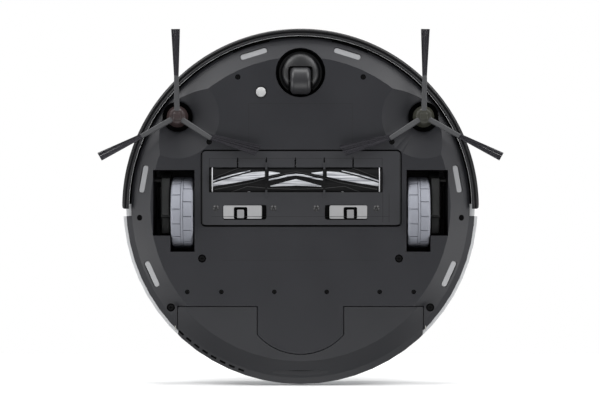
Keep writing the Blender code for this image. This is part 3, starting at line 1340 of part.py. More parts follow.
def battery_and_board():
    """The wrapped cells on the tray's floor, with the circuit board above them."""
    foot = FLOOR_TOP + GAP
    top = foot + BATTERY_HEIGHT
    outline = rounded_rectangle((BATTERY_REAR, foot), (BATTERY_FRONT, top), BATTERY_CORNER, 3)
    add_object("battery_pack", prism(outline, -BATTERY_HALF_WIDTH, BATTERY_HALF_WIDTH, "X"), BATTERY_WRAP)
    board_foot = foot + BATTERY_HEIGHT + BOARD_GAP
    board_top = board_foot + BOARD_THICKNESS
    plate = block((BOARD_LEFT, BOARD_REAR, board_foot), (BOARD_RIGHT, BOARD_FRONT, board_top))
    board = add_object("main_board", plate, BOARD_GREEN)
    # x and y of a corner, side and height of each chip
    chips = ((-0.060, 0.070, 0.014, 0.004), (-0.035, 0.085, 0.018, 0.003), (0.000, 0.075, 0.012, 0.006))
    for x, y, side, height in chips:
        join(board, block((x, y, board_foot + 0.001), (x + side, y + side, board_top + height)))


base_shell()
sensors()
top_cover()
top_lid()
buttons()
bumper()
for side_name, side_sign in SIDES.items():
    wheel_arm(side_name, side_sign)
    side_brush(side_name, side_sign)
caster()
roller_brush()
brush_housing()
brush_cover()
water_tank()
dust_bin()
laser_turret()
fan()
battery_and_board()
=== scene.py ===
"""The look of a round robot vacuum cleaner with a mopping tank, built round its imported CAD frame.

Sections follow the order in which the machine is put together, and each holds all that its pieces need.
"""

import json
import math

import bmesh
import bpy
from mathutils import Matrix, Vector

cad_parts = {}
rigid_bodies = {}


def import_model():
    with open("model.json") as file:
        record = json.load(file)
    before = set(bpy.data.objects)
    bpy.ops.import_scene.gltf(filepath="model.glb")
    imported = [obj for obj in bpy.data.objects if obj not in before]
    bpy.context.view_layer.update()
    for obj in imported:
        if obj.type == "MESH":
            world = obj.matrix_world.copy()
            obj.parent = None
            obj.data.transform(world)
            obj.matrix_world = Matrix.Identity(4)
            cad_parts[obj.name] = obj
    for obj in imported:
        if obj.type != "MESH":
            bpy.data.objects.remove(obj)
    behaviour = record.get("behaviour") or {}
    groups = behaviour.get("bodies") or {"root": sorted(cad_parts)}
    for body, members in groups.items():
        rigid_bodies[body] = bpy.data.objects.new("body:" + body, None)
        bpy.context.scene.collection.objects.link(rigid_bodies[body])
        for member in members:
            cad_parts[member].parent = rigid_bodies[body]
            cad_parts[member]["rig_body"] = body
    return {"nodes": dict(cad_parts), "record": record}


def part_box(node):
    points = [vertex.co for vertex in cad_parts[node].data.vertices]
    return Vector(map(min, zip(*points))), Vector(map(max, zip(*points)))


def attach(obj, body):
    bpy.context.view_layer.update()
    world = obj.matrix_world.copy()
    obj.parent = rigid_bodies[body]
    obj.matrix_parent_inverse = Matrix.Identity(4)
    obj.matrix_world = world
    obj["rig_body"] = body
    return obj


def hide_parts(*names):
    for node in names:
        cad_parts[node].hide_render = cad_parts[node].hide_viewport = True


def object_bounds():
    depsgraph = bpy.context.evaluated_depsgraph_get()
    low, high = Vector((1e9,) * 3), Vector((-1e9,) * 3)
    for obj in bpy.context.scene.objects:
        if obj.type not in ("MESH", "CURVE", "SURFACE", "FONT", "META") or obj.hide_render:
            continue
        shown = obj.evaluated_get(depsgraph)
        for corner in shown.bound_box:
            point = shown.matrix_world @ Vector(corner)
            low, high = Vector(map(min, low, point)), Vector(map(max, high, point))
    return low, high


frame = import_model()
cad_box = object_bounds()


# ---------------------------------------------------------------- studio
# A white sweep under soft lamps. The machine stands on its rear edge, so its underside faces the camera,
# and a second white sheet lies under its feet for the other views. Each sheet is seen from one side only.


def add_node(tree, kind, values=None, **settings):
    """Adds a node. Each value is linked from another node's socket, or set on this node's own."""
    made = tree.nodes.new(kind)
    for name, value in settings.items():
        setattr(made, name, value)
    for name, value in (values or {}).items():
        if isinstance(value, bpy.types.NodeSocket):
            tree.links.new(value, made.inputs[name])
        else:
            made.inputs[name].default_value = value
    return made


def new_material(name):
    """A material with its node tree and its shader."""
    material = bpy.data.materials.new(name)
    material.use_nodes = True
    return material, material.node_tree, material.node_tree.nodes["Principled BSDF"]


def sweep_material():
    """Matt white paper on its front. From behind, the camera sees through it."""
    material, tree, _ = new_material("white_sweep")
    tree.nodes.clear()
    paper = add_node(tree, "ShaderNodeBsdfDiffuse", {"Color": (0.92, 0.92, 0.92, 1.0)})
    clear = add_node(tree, "ShaderNodeBsdfTransparent")
    side = add_node(tree, "ShaderNodeNewGeometry")
    chosen = add_node(tree, "ShaderNodeMixShader", {0: side.outputs["Backfacing"], 1: paper.outputs[0]})
    tree.links.new(clear.outputs[0], chosen.inputs[2])
    add_node(tree, "ShaderNodeOutputMaterial", {"Surface": chosen.outputs[0]})
    return material


def sweep_sheet(name, corners, material):
    """A large flat sheet that only the camera sees."""
    mesh = bpy.data.meshes.new(name)
    mesh.from_pydata(corners, [], [(0, 1, 2, 3)])
    mesh.materials.append(material)
    sheet = bpy.data.objects.new(name, mesh)
    bpy.context.scene.collection.objects.link(sheet)
    sheet.visible_diffuse = False
    sheet.visible_glossy = False
    sheet.visible_transmission = False
    sheet.visible_shadow = False


def softbox(name, place, size, power):
    """A square lamp that faces the middle of the machine."""
    lamp = bpy.data.lights.new(name, "AREA")
    lamp.size = size
    lamp.energy = power
    holder = bpy.data.objects.new(name, lamp)
    holder.location = place
    aim = Vector((0, 0, 0.03)) - Vector(place)
    holder.rotation_euler = aim.to_track_quat("-Z", "Y").to_euler()
    bpy.context.scene.collection.objects.link(holder)


SWEEP = sweep_material()
FLOOR_Z = cad_box[0].z - 0.0004
STAND_Y = cad_box[0].y - 0.0003
sweep_sheet("floor", [(-3, -3, FLOOR_Z), (3, -3, FLOOR_Z), (3, 3, FLOOR_Z), (-3, 3, FLOOR_Z)], SWEEP)
sweep_sheet("stand", [(-1, STAND_Y, -0.4), (-1, STAND_Y, 0.5), (1, STAND_Y, 0.5), (1, STAND_Y, -0.4)], SWEEP)
softbox("side_lamp_right", (0.86, 0.98, -0.48), 0.9, 13.0)
softbox("side_lamp_left", (-0.86, 0.98, -0.48), 0.9, 13.0)
softbox("low_lamp_right", (1.25, -0.30, -0.40), 0.8, 8.0)
softbox("low_lamp_left", (-1.25, -0.30, -0.40), 0.8, 8.0)
softbox("rear_lamp", (0.0, -0.66, -0.80), 0.7, 3.8)
softbox("camera_lamp", (0.0, 0.50, -1.90), 1.4, 0.8)
softbox("top_lamp", (0.2, 0.30, 1.80), 1.5, 20.0)
softbox("front_lamp", (0.0, 1.60, 0.25), 1.2, 20.0)

WORLD = bpy.data.worlds.new("white_room")
bpy.context.scene.world = WORLD
WORLD.use_nodes = True
WORLD.node_tree.nodes.clear()
seen = add_node(WORLD.node_tree, "ShaderNodeBackground", {"Color": (1, 1, 1, 1), "Strength": 1.0})
fill = add_node(WORLD.node_tree, "ShaderNodeBackground", {"Color": (0.95, 0.97, 1.0, 1), "Strength": 0.19})
ray = add_node(WORLD.node_tree, "ShaderNodeLightPath")
room = add_node(WORLD.node_tree, "ShaderNodeMixShader", {0: ray.outputs["Is Camera Ray"], 1: fill.outputs[0]})
WORLD.node_tree.links.new(seen.outputs[0], room.inputs[2])
add_node(WORLD.node_tree, "ShaderNodeOutputWorld", {"Surface": room.outputs[0]})
bpy.context.scene.view_settings.view_transform = "Standard"

CAMERA_DISTANCE = 2.25
VIEW_WIDTH = 0.591
lens = bpy.data.cameras.new("camera")
lens.sensor_width = 36.0
lens.lens = lens.sensor_width * CAMERA_DISTANCE / VIEW_WIDTH
lens.clip_end = 50.0
camera = bpy.data.objects.new("camera", lens)
camera.location = (0.0005, -0.0030, 0.0095 - CAMERA_DISTANCE)
camera.rotation_euler = (0.0, math.pi, 0.0)
bpy.context.scene.collection.objects.link(camera)
bpy.context.scene.camera = camera


# ---------------------------------------------------------------- tray
# The underside tray is one black ABS moulding with a fine spark-eroded grain. It carries every other
# piece: wheel wells, brush scoops, the caster's socket and the bay that the water tank slides into.


def moulded_plastic(
    name, colour, roughness, grain=0.25, mottling=0.10, grain_size=0.00035, coat=0.0, specular=0.5
):
    """Plastic with the grain of its mould: fine pits, and a slow drift in colour and gloss."""
    material, tree, shader = new_material(name)
    shader.inputs["Specular IOR Level"].default_value = specular
    shader.inputs["Coat Weight"].default_value = coat
    shader.inputs["Coat Roughness"].default_value = 0.06
    place = add_node(tree, "ShaderNodeTexCoord")
    spot = place.outputs["Object"]
    pits = add_node(tree, "ShaderNodeTexNoise", {"Vector": spot, "Scale": 1.0 / grain_size, "Detail": 2.0})
    drift = add_node(tree, "ShaderNodeTexNoise", {"Vector": spot, "Scale": 22.0, "Detail": 4.0})
    dark = (*[c * (1.0 - mottling) for c in colour], 1.0)
    pale = (*[c * (1.0 + mottling) for c in colour], 1.0)
    tone = add_node(tree, "ShaderNodeMix", {0: drift.outputs["Fac"], 6: dark, 7: pale}, data_type="RGBA")
    span = {"From Min": 0.3, "From Max": 0.7, "To Min": roughness - 0.04, "To Max": roughness + 0.04}
    gloss = add_node(tree, "ShaderNodeMapRange", {"Value": drift.outputs["Fac"], **span})
    relief = {"Height": pits.outputs["Fac"], "Strength": grain, "Distance": grain_size / 4}
    bump = add_node(tree, "ShaderNodeBump", relief)
    tree.links.new(tone.outputs[2], shader.inputs["Base Color"])
    tree.links.new(gloss.outputs[0], shader.inputs["Roughness"])
    tree.links.new(bump.outputs[0], shader.inputs["Normal"])
    return material


SLOTS = {part["node"]: part["material_slot"] for part in frame["record"]["subparts"]}


def body_of(node):
    """The name of the body that a CAD node moves with."""
    return frame["nodes"][node]["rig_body"]


def middle_of(node):
    """The middle of a CAD node's box."""
    low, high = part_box(node)
    return (low + high) / 2


def add_piece(name, mesh, body, slot, *stood_for):
    """Puts a finished mesh into the scene as a piece that moves with a body."""
    piece = bpy.data.objects.new(name, mesh)
    bpy.context.scene.collection.objects.link(piece)
    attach(piece, body)
    if stood_for:
        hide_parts(*stood_for)
    return piece


def true_normals(mesh):
    """Shades flat faces flat, and facets of a wall that runs round the machine's axis as one smooth round."""
    mesh_normals = [corner.vector.copy() for corner in mesh.corner_normals]
    for face in mesh.polygons:
        normal, centre = face.normal, face.center
        level = abs(normal.z) > 0.9995
        radial = Vector((centre.x, centre.y)).normalized()
        outward = Vector((normal.x, normal.y))
        facing = outward.normalized().dot(radial) if outward.length > 0.05 else 0.0
        far_out = Vector((centre.x, centre.y)).length > 0.140
        for corner in face.loop_indices:
            if level:
                mesh_normals[corner] = normal.copy()
            elif far_out and abs(facing) > 0.995:
                spot = mesh.vertices[mesh.loops[corner].vertex_index].co
                around = Vector((spot.x, spot.y)).normalized() * outward.length * math.copysign(1.0, facing)
                mesh_normals[corner] = Vector((around.x, around.y, normal.z))
    mesh.normals_split_custom_set(mesh_normals)


def dressed_copy(node, name, material, sharp=20.0, bevel=0.0):
    """A merged copy of a CAD node that stands for it, smooth where it is round and, if wanted, bevelled."""
    source = frame["nodes"][node]
    shape = bmesh.new()
    shape.from_mesh(source.data)
    bmesh.ops.remove_doubles(shape, verts=shape.verts, dist=1e-6)
    bmesh.ops.dissolve_limit(shape, angle_limit=math.radians(0.4), verts=shape.verts, edges=shape.edges)
    mesh = bpy.data.meshes.new(name)
    shape.to_mesh(mesh)
    shape.free()
    mesh.shade_smooth()
    mesh.set_sharp_from_angle(angle=math.radians(sharp))
    mesh.materials.clear()
    mesh.materials.append(material)
    if not bevel:
        true_normals(mesh)
    piece = add_piece(name, mesh, body_of(node), SLOTS[node], node)
    if bevel:
        edge = piece.modifiers.new("broken_edges", "BEVEL")
        edge.width = bevel
        edge.segments = 2
        edge.limit_method = "ANGLE"
        edge.angle_limit = math.radians(32)
        edge.harden_normals = True
    return piece


TRAY_PLASTIC = moulded_plastic("tray_plastic", (0.0122, 0.0126, 0.0160), 0.50)
TRAY_FACE = 0.0095  # height of the flat underside
dressed_copy("base_shell", "tray_moulding", TRAY_PLASTIC, sharp=13.0)


# ---------------------------------------------------------------- tray seams and painted shade
# Faint joint lines of the battery door and the mopping plate's rail, and black sheets of painted shade in the
# slits in front of the two foremost windows, in each side brush's recess and above the bumper's gap.


def shaped_mesh(name, shape, material, sharp=30.0):
    """A bmesh as a mesh with smooth round faces and crisp edges."""
    bmesh.ops.remove_doubles(shape, verts=shape.verts, dist=1e-7)
    bmesh.ops.recalc_face_normals(shape, faces=shape.faces)
    mesh = bpy.data.meshes.new(name)
    shape.to_mesh(mesh)
    shape.free()
    mesh.shade_smooth()
    mesh.set_sharp_from_angle(angle=math.radians(sharp))
    mesh.materials.append(material)
    return mesh


def add_shape(name, shape, material, body, slot, *stood_for, sharp=30.0):
    """Makes a bmesh into a piece that moves with a body."""
    return add_piece(name, shaped_mesh(name, shape, material, sharp), body, slot, *stood_for)


def lathe(profile, centre=(0.0, 0.0), axis="Z", start=0.0, end=360.0, steps=96):
    """A closed (radius, height) outline turned round an axis, all the way or over an arc."""
    place = {
        "X": lambda a, b, h: (h, centre[0] + a, centre[1] + b),
        "Y": lambda a, b, h: (centre[0] + a, h, centre[1] + b),
        "Z": lambda a, b, h: (centre[0] + a, centre[1] + b, h),
    }[axis]
    whole = end - start >= 360.0
    count = steps if whole else steps + 1
    shape = bmesh.new()
    columns = []
    for i in range(count):
        angle = math.radians(start + (end - start) * i / steps)
        points = [place(r * math.cos(angle), r * math.sin(angle), h) for r, h in profile]
        columns.append([shape.verts.new(point) for point in points])
    for i in range(count if whole else steps):
        first, second = columns[i], columns[(i + 1) % count]
        for j in range(len(profile)):
            k = (j + 1) % len(profile)
            if profile[j][0] == 0.0 and profile[k][0] == 0.0:
                continue
            shape.faces.new((first[j], second[j], second[k], first[k]))
    if not whole:
        shape.faces.new(columns[0])
        shape.faces.new(columns[-1])
    bmesh.ops.remove_doubles(shape, verts=shape.verts, dist=1e-7)
    return shape


def flat_ring(inner, outer, low, high, centre, start=0.0, end=360.0, steps=64):
    """A flat washer, or part of one."""
    return lathe([(inner, low), (outer, low), (outer, high), (inner, high)], centre, "Z", start, end, steps)


def gather(*shapes):
    """Several separate shapes as one bmesh."""
    whole = bmesh.new()
    for shape in shapes:
        bmesh.ops.recalc_face_normals(shape, faces=shape.faces)
        copy = bpy.data.meshes.new("copy")
        shape.to_mesh(copy)
        shape.free()
        whole.from_mesh(copy)
        bpy.data.meshes.remove(copy)
    return whole


def bar(low, high):
    """A plain rectangular bar between two corners."""
    shape = bmesh.new()
    bmesh.ops.create_cube(shape, size=1.0)
    for vert in shape.verts:
        vert.co = [low[i] if vert.co[i] < 0 else high[i] for i in range(3)]
    return shape


SIDES = (("right", 1), ("left", -1))
# Near-black for openings, slits, gaps and recesses: painted shade where they lie in shadow.
SHADE_BLACK = moulded_plastic("painted_shade_black", (0.0008, 0.0008, 0.0009), 0.8, grain=0.05, specular=0.05)
SEAM_PLASTIC = moulded_plastic("seam_shadow", (0.006, 0.006, 0.007), 0.6, grain=0.05)
SEAM_WIDTH = 0.00035
SEAM_PROUD = 0.00003
DOOR_HALF_WIDTH = 0.0510
DOOR_FRONT = 0.1020
DOOR_REAR = 0.0600
RAIL_Y = -0.0525
RAIL_LEFT = -0.0820
RAIL_RIGHT = 0.0770


def seam(x0, y0, x1, y1):
    """A straight joint line in the flat underside."""
    half = SEAM_WIDTH / 2
    low = (min(x0, x1) - half, min(y0, y1) - half, TRAY_FACE - SEAM_PROUD)
    high = (max(x0, x1) + half, max(y0, y1) + half, TRAY_FACE + 0.0002)
    return bar(low, high)


seams = [seam(RAIL_LEFT, RAIL_Y, RAIL_RIGHT, RAIL_Y)]
seams.append(seam(-DOOR_HALF_WIDTH, DOOR_FRONT, DOOR_HALF_WIDTH, DOOR_FRONT))
for sign in (-1, 1):
    seams.append(seam(sign * DOOR_HALF_WIDTH, DOOR_REAR, sign * DOOR_HALF_WIDTH, DOOR_FRONT))
add_shape("tray_seams", gather(*seams), SEAM_PLASTIC, "root", "tray")

# Black arcs of painted shade in the slits in front of the two foremost windows.
SLIT_RADII = (0.1662, 0.1676)
SLIT_HEIGHTS = (0.0192, 0.0202)
SLIT_SPAN = (66.5, 79.3)
slits = []
for first, last in (SLIT_SPAN, (180.0 - SLIT_SPAN[1], 180.0 - SLIT_SPAN[0])):
    slits.append(flat_ring(*SLIT_RADII, *SLIT_HEIGHTS, (0, 0), first, last, 24))
add_shape("front_slit_shade", gather(*slits), SHADE_BLACK, "root", "dark_plastic")

# A black sheet of painted shade in each side brush's recess, round its shaft.
RECESS_RADIUS = 0.0149
RECESS_TOP = 0.0186
RECESS_SHAFT = 0.0036
RECESS_SKIRT = 0.0030
SHADE_SHEET_DEPTH = 0.0002
recess_shades = []
for side, _ in SIDES:
    profile = [(RECESS_SHAFT, RECESS_TOP - SHADE_SHEET_DEPTH), (RECESS_RADIUS - SHADE_SHEET_DEPTH, RECESS_TOP - SHADE_SHEET_DEPTH)]
    profile += [(RECESS_RADIUS - SHADE_SHEET_DEPTH, RECESS_TOP - RECESS_SKIRT), (RECESS_RADIUS, RECESS_TOP - RECESS_SKIRT)]
    profile += [(RECESS_RADIUS, RECESS_TOP), (RECESS_SHAFT, RECESS_TOP)]
    recess_shades.append(lathe(profile, middle_of(f"side_brush_motor_{side}")))
add_shape("recess_painted_shade", gather(*recess_shades), SHADE_BLACK, "root", "dark_plastic")
# A black ring of painted shade above the gap between the bumper and the tray.
GAP_RADII = (0.1671, 0.1694)
GAP_HEIGHTS = (0.0202, 0.0207)
gap_shade = flat_ring(*GAP_RADII, *GAP_HEIGHTS, (0, 0), 1.0, 179.0, 160)
add_shape("bumper_gap_painted_shade", gap_shade, SHADE_BLACK, "root", "dark_plastic")


# ---------------------------------------------------------------- screws
# Self-tapping screws with a cross slot, blackened, at the bottom of round recesses. They hold the tray to
# the frame above it, and stand in deep shadow. Their heads are darkened near to black as painted shade, and
# each cross slot and a disc on each recess floor are black painted shade.


def new_tree(name, **sockets):
    """An empty node tree with geometry in and out, and a named input for each size."""
    tree = bpy.data.node_groups.new(name, "GeometryNodeTree")
    tree.interface.new_socket("Geometry", in_out="INPUT", socket_type="NodeSocketGeometry")
    tree.interface.new_socket("Geometry", in_out="OUTPUT", socket_type="NodeSocketGeometry")
    for title, kind in sockets.items():
        tree.interface.new_socket(title, in_out="INPUT", socket_type=f"NodeSocket{kind}")
    return tree, tree.nodes.new("NodeGroupInput"), tree.nodes.new("NodeGroupOutput")


def grow(name, tree, base, **values):
    """Runs a node tree once over a mesh, and gives back the plain mesh that it makes."""
    carrier = bpy.data.objects.new(name, base)
    bpy.context.scene.collection.objects.link(carrier)
    modifier = carrier.modifiers.new("grow", "NODES")
    modifier.node_group = tree
    for item in tree.interface.items_tree:
        if item.in_out == "INPUT" and item.name in values:
            modifier[item.identifier] = values[item.name]
    bpy.context.view_layer.update()
    made = bpy.data.meshes.new_from_object(carrier.evaluated_get(bpy.context.evaluated_depsgraph_get()))
    made.name = name
    bpy.data.objects.remove(carrier)
    return made


def real_copies(tree, placed, finish):
    """The last step of a tree: its copies become plain mesh of one material."""
    real = add_node(tree, "GeometryNodeRealizeInstances", {"Geometry": placed.outputs[0]})
    dressed = {"Geometry": real.outputs[0], "Material": finish}
    return add_node(tree, "GeometryNodeSetMaterial", dressed).outputs[0]


def screw_tree():
    """A countersunk head on every point, as wide as the point's own radius, with a cross slot and a disc on
    the recess floor in black painted shade.
    """
    tree, given, result = new_tree("recessed_screws", Rise="Float", Metal="Material", Slot="Material")
    width = add_node(tree, "GeometryNodeInputNamedAttribute", {"Name": "radius"}, data_type="FLOAT")
    lift = add_node(tree, "ShaderNodeCombineXYZ", {"Z": given.outputs["Rise"]})
    raised = {"Geometry": given.outputs[0], "Offset": lift.outputs[0]}
    points = add_node(tree, "GeometryNodeSetPosition", raised)
    head = add_node(tree, "GeometryNodeMeshCylinder", {"Vertices": 20, "Radius": 0.62, "Depth": 0.30})
    floor = add_node(tree, "GeometryNodeMeshCylinder", {"Vertices": 20, "Radius": 0.97, "Depth": 0.06})
    parts = [(head, 0.0, "Metal"), (floor, 0.12, "Slot")]
    for size in ((0.75, 0.16, 0.10), (0.16, 0.75, 0.10)):
        parts.append((add_node(tree, "GeometryNodeMeshCube", {"Size": size}), -0.13, "Slot"))
    joined = tree.nodes.new("GeometryNodeJoinGeometry")
    for part, height, finish in parts:
        place = {"Geometry": part.outputs["Mesh"], "Translation": (0.0, 0.0, height)}
        moved = add_node(tree, "GeometryNodeTransform", place)
        copies = {"Points": points.outputs[0], "Instance": moved.outputs[0], "Scale": width.outputs[0]}
        placed = add_node(tree, "GeometryNodeInstanceOnPoints", copies)
        tree.links.new(real_copies(tree, placed, given.outputs[finish]), joined.inputs[0])
    tree.links.new(joined.outputs[0], result.inputs[0])
    return tree


def spots_mesh(name, spots):
    """Loose points (x, y, z, radius) for a node tree to work on."""
    mesh = bpy.data.meshes.new(name)
    mesh.from_pydata([spot[:3] for spot in spots], [], [])
    widths = mesh.attributes.new("radius", "FLOAT", "POINT")
    widths.data.foreach_set("value", [spot[3] for spot in spots])
    return mesh


# Blackened steel, its tone pushed near to black as painted shade of the recess.
SHADED_BLACK_STEEL = moulded_plastic("blackened_steel_painted_shade", (0.0012, 0.0012, 0.0014), 0.55, grain=0.3, specular=0.15)
RECESS_DEPTH = 0.0005
SCREW_PAIRS = (  # (x, y, recess radius)
    (0.1116, -0.0837, 0.0024),
    (0.0780, -0.0837, 0.0024),
    (0.0258, -0.0837, 0.0024),
    (0.0970, -0.0508, 0.0042),
    (0.1278, -0.0990, 0.0042),
    (0.0618, 0.1281, 0.0028),
    (0.0900, 0.0641, 0.0028),
)
spots = [(sign * x, y, TRAY_FACE + RECESS_DEPTH, r) for x, y, r in SCREW_PAIRS for sign in (-1, 1)]
finishes = {"Metal": SHADED_BLACK_STEEL, "Slot": SHADE_BLACK}
screws = grow("tray_screws", screw_tree(), spots_mesh("screw_spots", spots), Rise=-0.0002, **finishes)
add_piece("tray_screws", screws, "root", "dark_plastic")

SLOPE_FOOT = 0.1480  # where the sloped band begins
SLOPE_WIDTH = 0.0190
SLOPE_HEIGHT = 0.0105
SLOPE_RISE = math.atan2(SLOPE_HEIGHT, SLOPE_WIDTH)


def slope_height(reach):
    """Height of the sloped band at a distance from the middle."""
    return TRAY_FACE + (reach - SLOPE_FOOT) * math.tan(SLOPE_RISE)


# Black discs of painted shade in the two round holes in the sloped band.
SIDE_HOLE = (0.1590, -0.0106)
SIDE_HOLE_RADIUS = 0.0029
hole_shades = []
for sign in (-1, 1):
    profile = [(0.0, -0.0001), (SIDE_HOLE_RADIUS, -0.0001), (SIDE_HOLE_RADIUS, 0.0006), (0.0, 0.0006)]
    hole_shade = lathe(profile, steps=32)
    lean = Matrix.Rotation(math.atan2(SIDE_HOLE[1], sign * SIDE_HOLE[0]), 4, "Z")
    lean = lean @ Matrix.Rotation(-SLOPE_RISE, 4, "Y")
    place = Matrix.Translation((sign * SIDE_HOLE[0], SIDE_HOLE[1], slope_height(math.hypot(*SIDE_HOLE))))
    bmesh.ops.transform(hole_shade, matrix=place @ lean, verts=hole_shade.verts)
    hole_shades.append(hole_shade)
add_shape("side_hole_shade", gather(*hole_shades), SHADE_BLACK, "root", "dark_plastic")


# ---------------------------------------------------------------- sensor windows
# Six smoked polycarbonate windows over infrared eyes that look for a drop, snapped into dark frames in the
# sloped band, and the round frosted lens of the carpet sensor.


def frosted_lens(name, colour, roughness):
    """Translucent grey polycarbonate with faint flow marks."""
    material = moulded_plastic(name, colour, roughness, 0.12, 0.08, grain_size=0.0006, coat=0.35)
    shader = material.node_tree.nodes["Principled BSDF"]
    shader.inputs["Subsurface Weight"].default_value = 0.15
    shader.inputs["Subsurface Radius"].default_value = (0.0015, 0.0015, 0.0016)
    return material


WINDOW_GREY = frosted_lens("window_grey", (0.265, 0.268, 0.277), 0.34)
FRAME_BLACK = moulded_plastic("window_frame_black", (0.006, 0.006, 0.007), 0.4)
FRAME_WIDTH = 0.0008
FRAME_PROUD = 0.00025
FRAME_SUNK = 0.0004
WINDOW_CORNER = 0.0014


def rounded_outline(x0, y0, x1, y1, corner, steps=6):
    """Points (x, y) round a rectangle with round corners."""
    points = []
    for px, py, first in ((x1, y1, 0), (x0, y1, 90), (x0, y0, 180), (x1, y0, 270)):
        centre_x = px + (corner if px == x0 else -corner)
        centre_y = py + (corner if py == y0 else -corner)
        for i in range(steps + 1):
            angle = math.radians(first + 90.0 * i / steps)
            points.append((centre_x + corner * math.cos(angle), centre_y + corner * math.sin(angle)))
    return points


def skin(rings, closed=False):
    """A surface through rings of points: its ends are capped, or its last ring joins the first."""
    shape = bmesh.new()
    rings = [[shape.verts.new(point) for point in ring] for ring in rings]
    for first, second in zip(rings, [*rings[1:], rings[0]] if closed else rings[1:]):
        for j in range(len(first)):
            k = (j + 1) % len(first)
            shape.faces.new((first[j], first[k], second[k], second[j]))
    if not closed:
        shape.faces.new(rings[0])
        shape.faces.new(rings[-1])
    return shape


def window_frame(node):
    """A thin rim round a window, built from the window's own outline."""
    middle = middle_of(node)
    turn = Matrix.Rotation(math.atan2(middle.y, middle.x), 4, "Z")
    tilt = Matrix.Rotation(-SLOPE_RISE, 4, "Y")
    centre = turn.inverted() @ middle
    vertices = frame["nodes"][node].data.vertices
    local = [tilt.inverted() @ (turn.inverted() @ vertex.co - centre) for vertex in vertices]
    half_x = max(p.x for p in local)
    half_y = max(p.y for p in local)
    face = min(p.z for p in local)
    back, front = face + FRAME_SUNK, face - FRAME_PROUD
    rings = []
    for wider, z in ((0.0, back), (0.0, front), (FRAME_WIDTH, front), (FRAME_WIDTH, back)):
        x, y = half_x + wider, half_y + wider
        outline = rounded_outline(-x, -y, x, y, WINDOW_CORNER + wider, steps=4)
        rings.append([turn @ (centre + tilt @ Vector((*spot, z))) for spot in outline])
    return skin(rings, closed=True)


frames = []
for side in ("left", "right"):
    for place in ("front", "side", "rear"):
        node = f"cliff_window_{place}_{side}"
        dressed_copy(node, f"window_{place}_{side}", WINDOW_GREY, bevel=0.0003)
        frames.append(window_frame(node))
add_shape("window_frames", gather(*frames), FRAME_BLACK, "root", "dark_plastic")

low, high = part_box("carpet_sensor")
eye = middle_of("carpet_sensor")
eye_radius = (high.x - low.x) / 2
EYE_CROWN = 0.0016
dome = [(0.0, low.z)]
for i in range(1, 9):
    turn = math.radians(90.0 * i / 8)
    dome.append((eye_radius * math.sin(turn), low.z + EYE_CROWN * (1.0 - math.cos(turn))))
dome += [(eye_radius, high.z), (0.0, high.z)]
EYE_WHITE = frosted_lens("eye_white", (0.50, 0.50, 0.50), 0.30)
add_shape("carpet_eye", lathe(dome, eye), EYE_WHITE, "root", "lens", "carpet_sensor", sharp=50)
EYE_RIM = 0.0011
rim = flat_ring(eye_radius, eye_radius + EYE_RIM, TRAY_FACE - 0.0002, TRAY_FACE + 0.0003, eye)
add_shape("carpet_eye_rim", rim, FRAME_BLACK, "root", "dark_plastic")


# ---------------------------------------------------------------- bumper
# Half a ring of gloss black polycarbonate on springs. Its foot turns in to a soft grey lip, with a groove
# between the lip and the outer skin, and both of its ends are rounded.

low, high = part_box("bumper")
BUMPER_OUT = high.x
BUMPER_TOP = high.z
BUMPER_FOOT = low.z
BUMPER_STEPS = 200
BUMPER_END = 0.6  # degrees past the middle of the machine
END_ROUND = 0.0034
SKIN_WALL = 0.0020
BUMPER_SECTION = (  # (across, up) from the foot of the outer skin
    (-0.0069, 0.0024), (-0.0069, 0.0006), (-0.0064, 0.0001), (-0.0054, 0.0000), (-0.0048, 0.0004),
    (-0.0044, 0.0019), (-0.0032, 0.0019), (-0.0028, 0.0004), (-0.0022, 0.0000), (-0.0013, 0.0003),
    (-0.0006, 0.0012), (-0.0001, 0.0032), (0.0000, 0.0060),
)


def bumper_shape():
    """The foot's section swept round the front, its sections drawn in where an end rounds off."""
    height = BUMPER_TOP - BUMPER_FOOT
    section = [*BUMPER_SECTION, (0.0, height - 0.0020), (-0.0004, height - 0.0006), (-0.0010, height)]
    section += [(-SKIN_WALL, height), (-SKIN_WALL, 0.0050), (-0.0028, 0.0028)]
    columns = []
    ends = [BUMPER_END * (1.0 - (1.0 - i / 8) ** 2) for i in range(8)]
    inner = [BUMPER_END + (180.0 - 2 * BUMPER_END) * i / BUMPER_STEPS for i in range(BUMPER_STEPS + 1)]
    for degrees in [*ends, *inner, *[180.0 - d for d in reversed(ends)]]:
        from_end = min(degrees, 180.0 - degrees)
        sweep = degrees * (180.0 + 2 * BUMPER_END) / 180.0 - BUMPER_END
        distance = math.radians(from_end) * BUMPER_OUT
        drawn = 0.0
        if distance < END_ROUND:
            drawn = END_ROUND - math.sqrt(END_ROUND**2 - (END_ROUND - distance) ** 2)
        angle = math.radians(sweep)
        column = []
        for across, up in section:
            radius = BUMPER_OUT + min(across, -0.8 * drawn)
            column.append((radius * math.cos(angle), radius * math.sin(angle), BUMPER_FOOT + up))
        columns.append(column)
    return skin(columns)


GLOSS_BLACK = moulded_plastic("gloss_black", (0.0060, 0.0060, 0.0070), 0.40, grain=0.03, specular=0.35)
add_shape("bumper_skin", bumper_shape(), GLOSS_BLACK, "front_bumper", "bumper", "bumper", sharp=38)
LIP_RADII = (BUMPER_OUT - 0.0064, BUMPER_OUT - 0.0052)
LIP_HEIGHTS = (BUMPER_FOOT - 0.00005, BUMPER_FOOT + 0.0003)
lip = flat_ring(*LIP_RADII, *LIP_HEIGHTS, (0, 0), 1.0, 179.0, 160)
LIP_GREY = moulded_plastic("lip_grey", (0.012, 0.012, 0.014), 0.55)
add_shape("bumper_lip", lip, LIP_GREY, "front_bumper", "bumper")


# ---------------------------------------------------------------- drive wheels
# A blue-grey rubber tyre with two staggered rows of blocks on a black hub. Each hangs on a gearbox arm
# whose spring pushes it down through the well, and the arm swings on a steel pin.


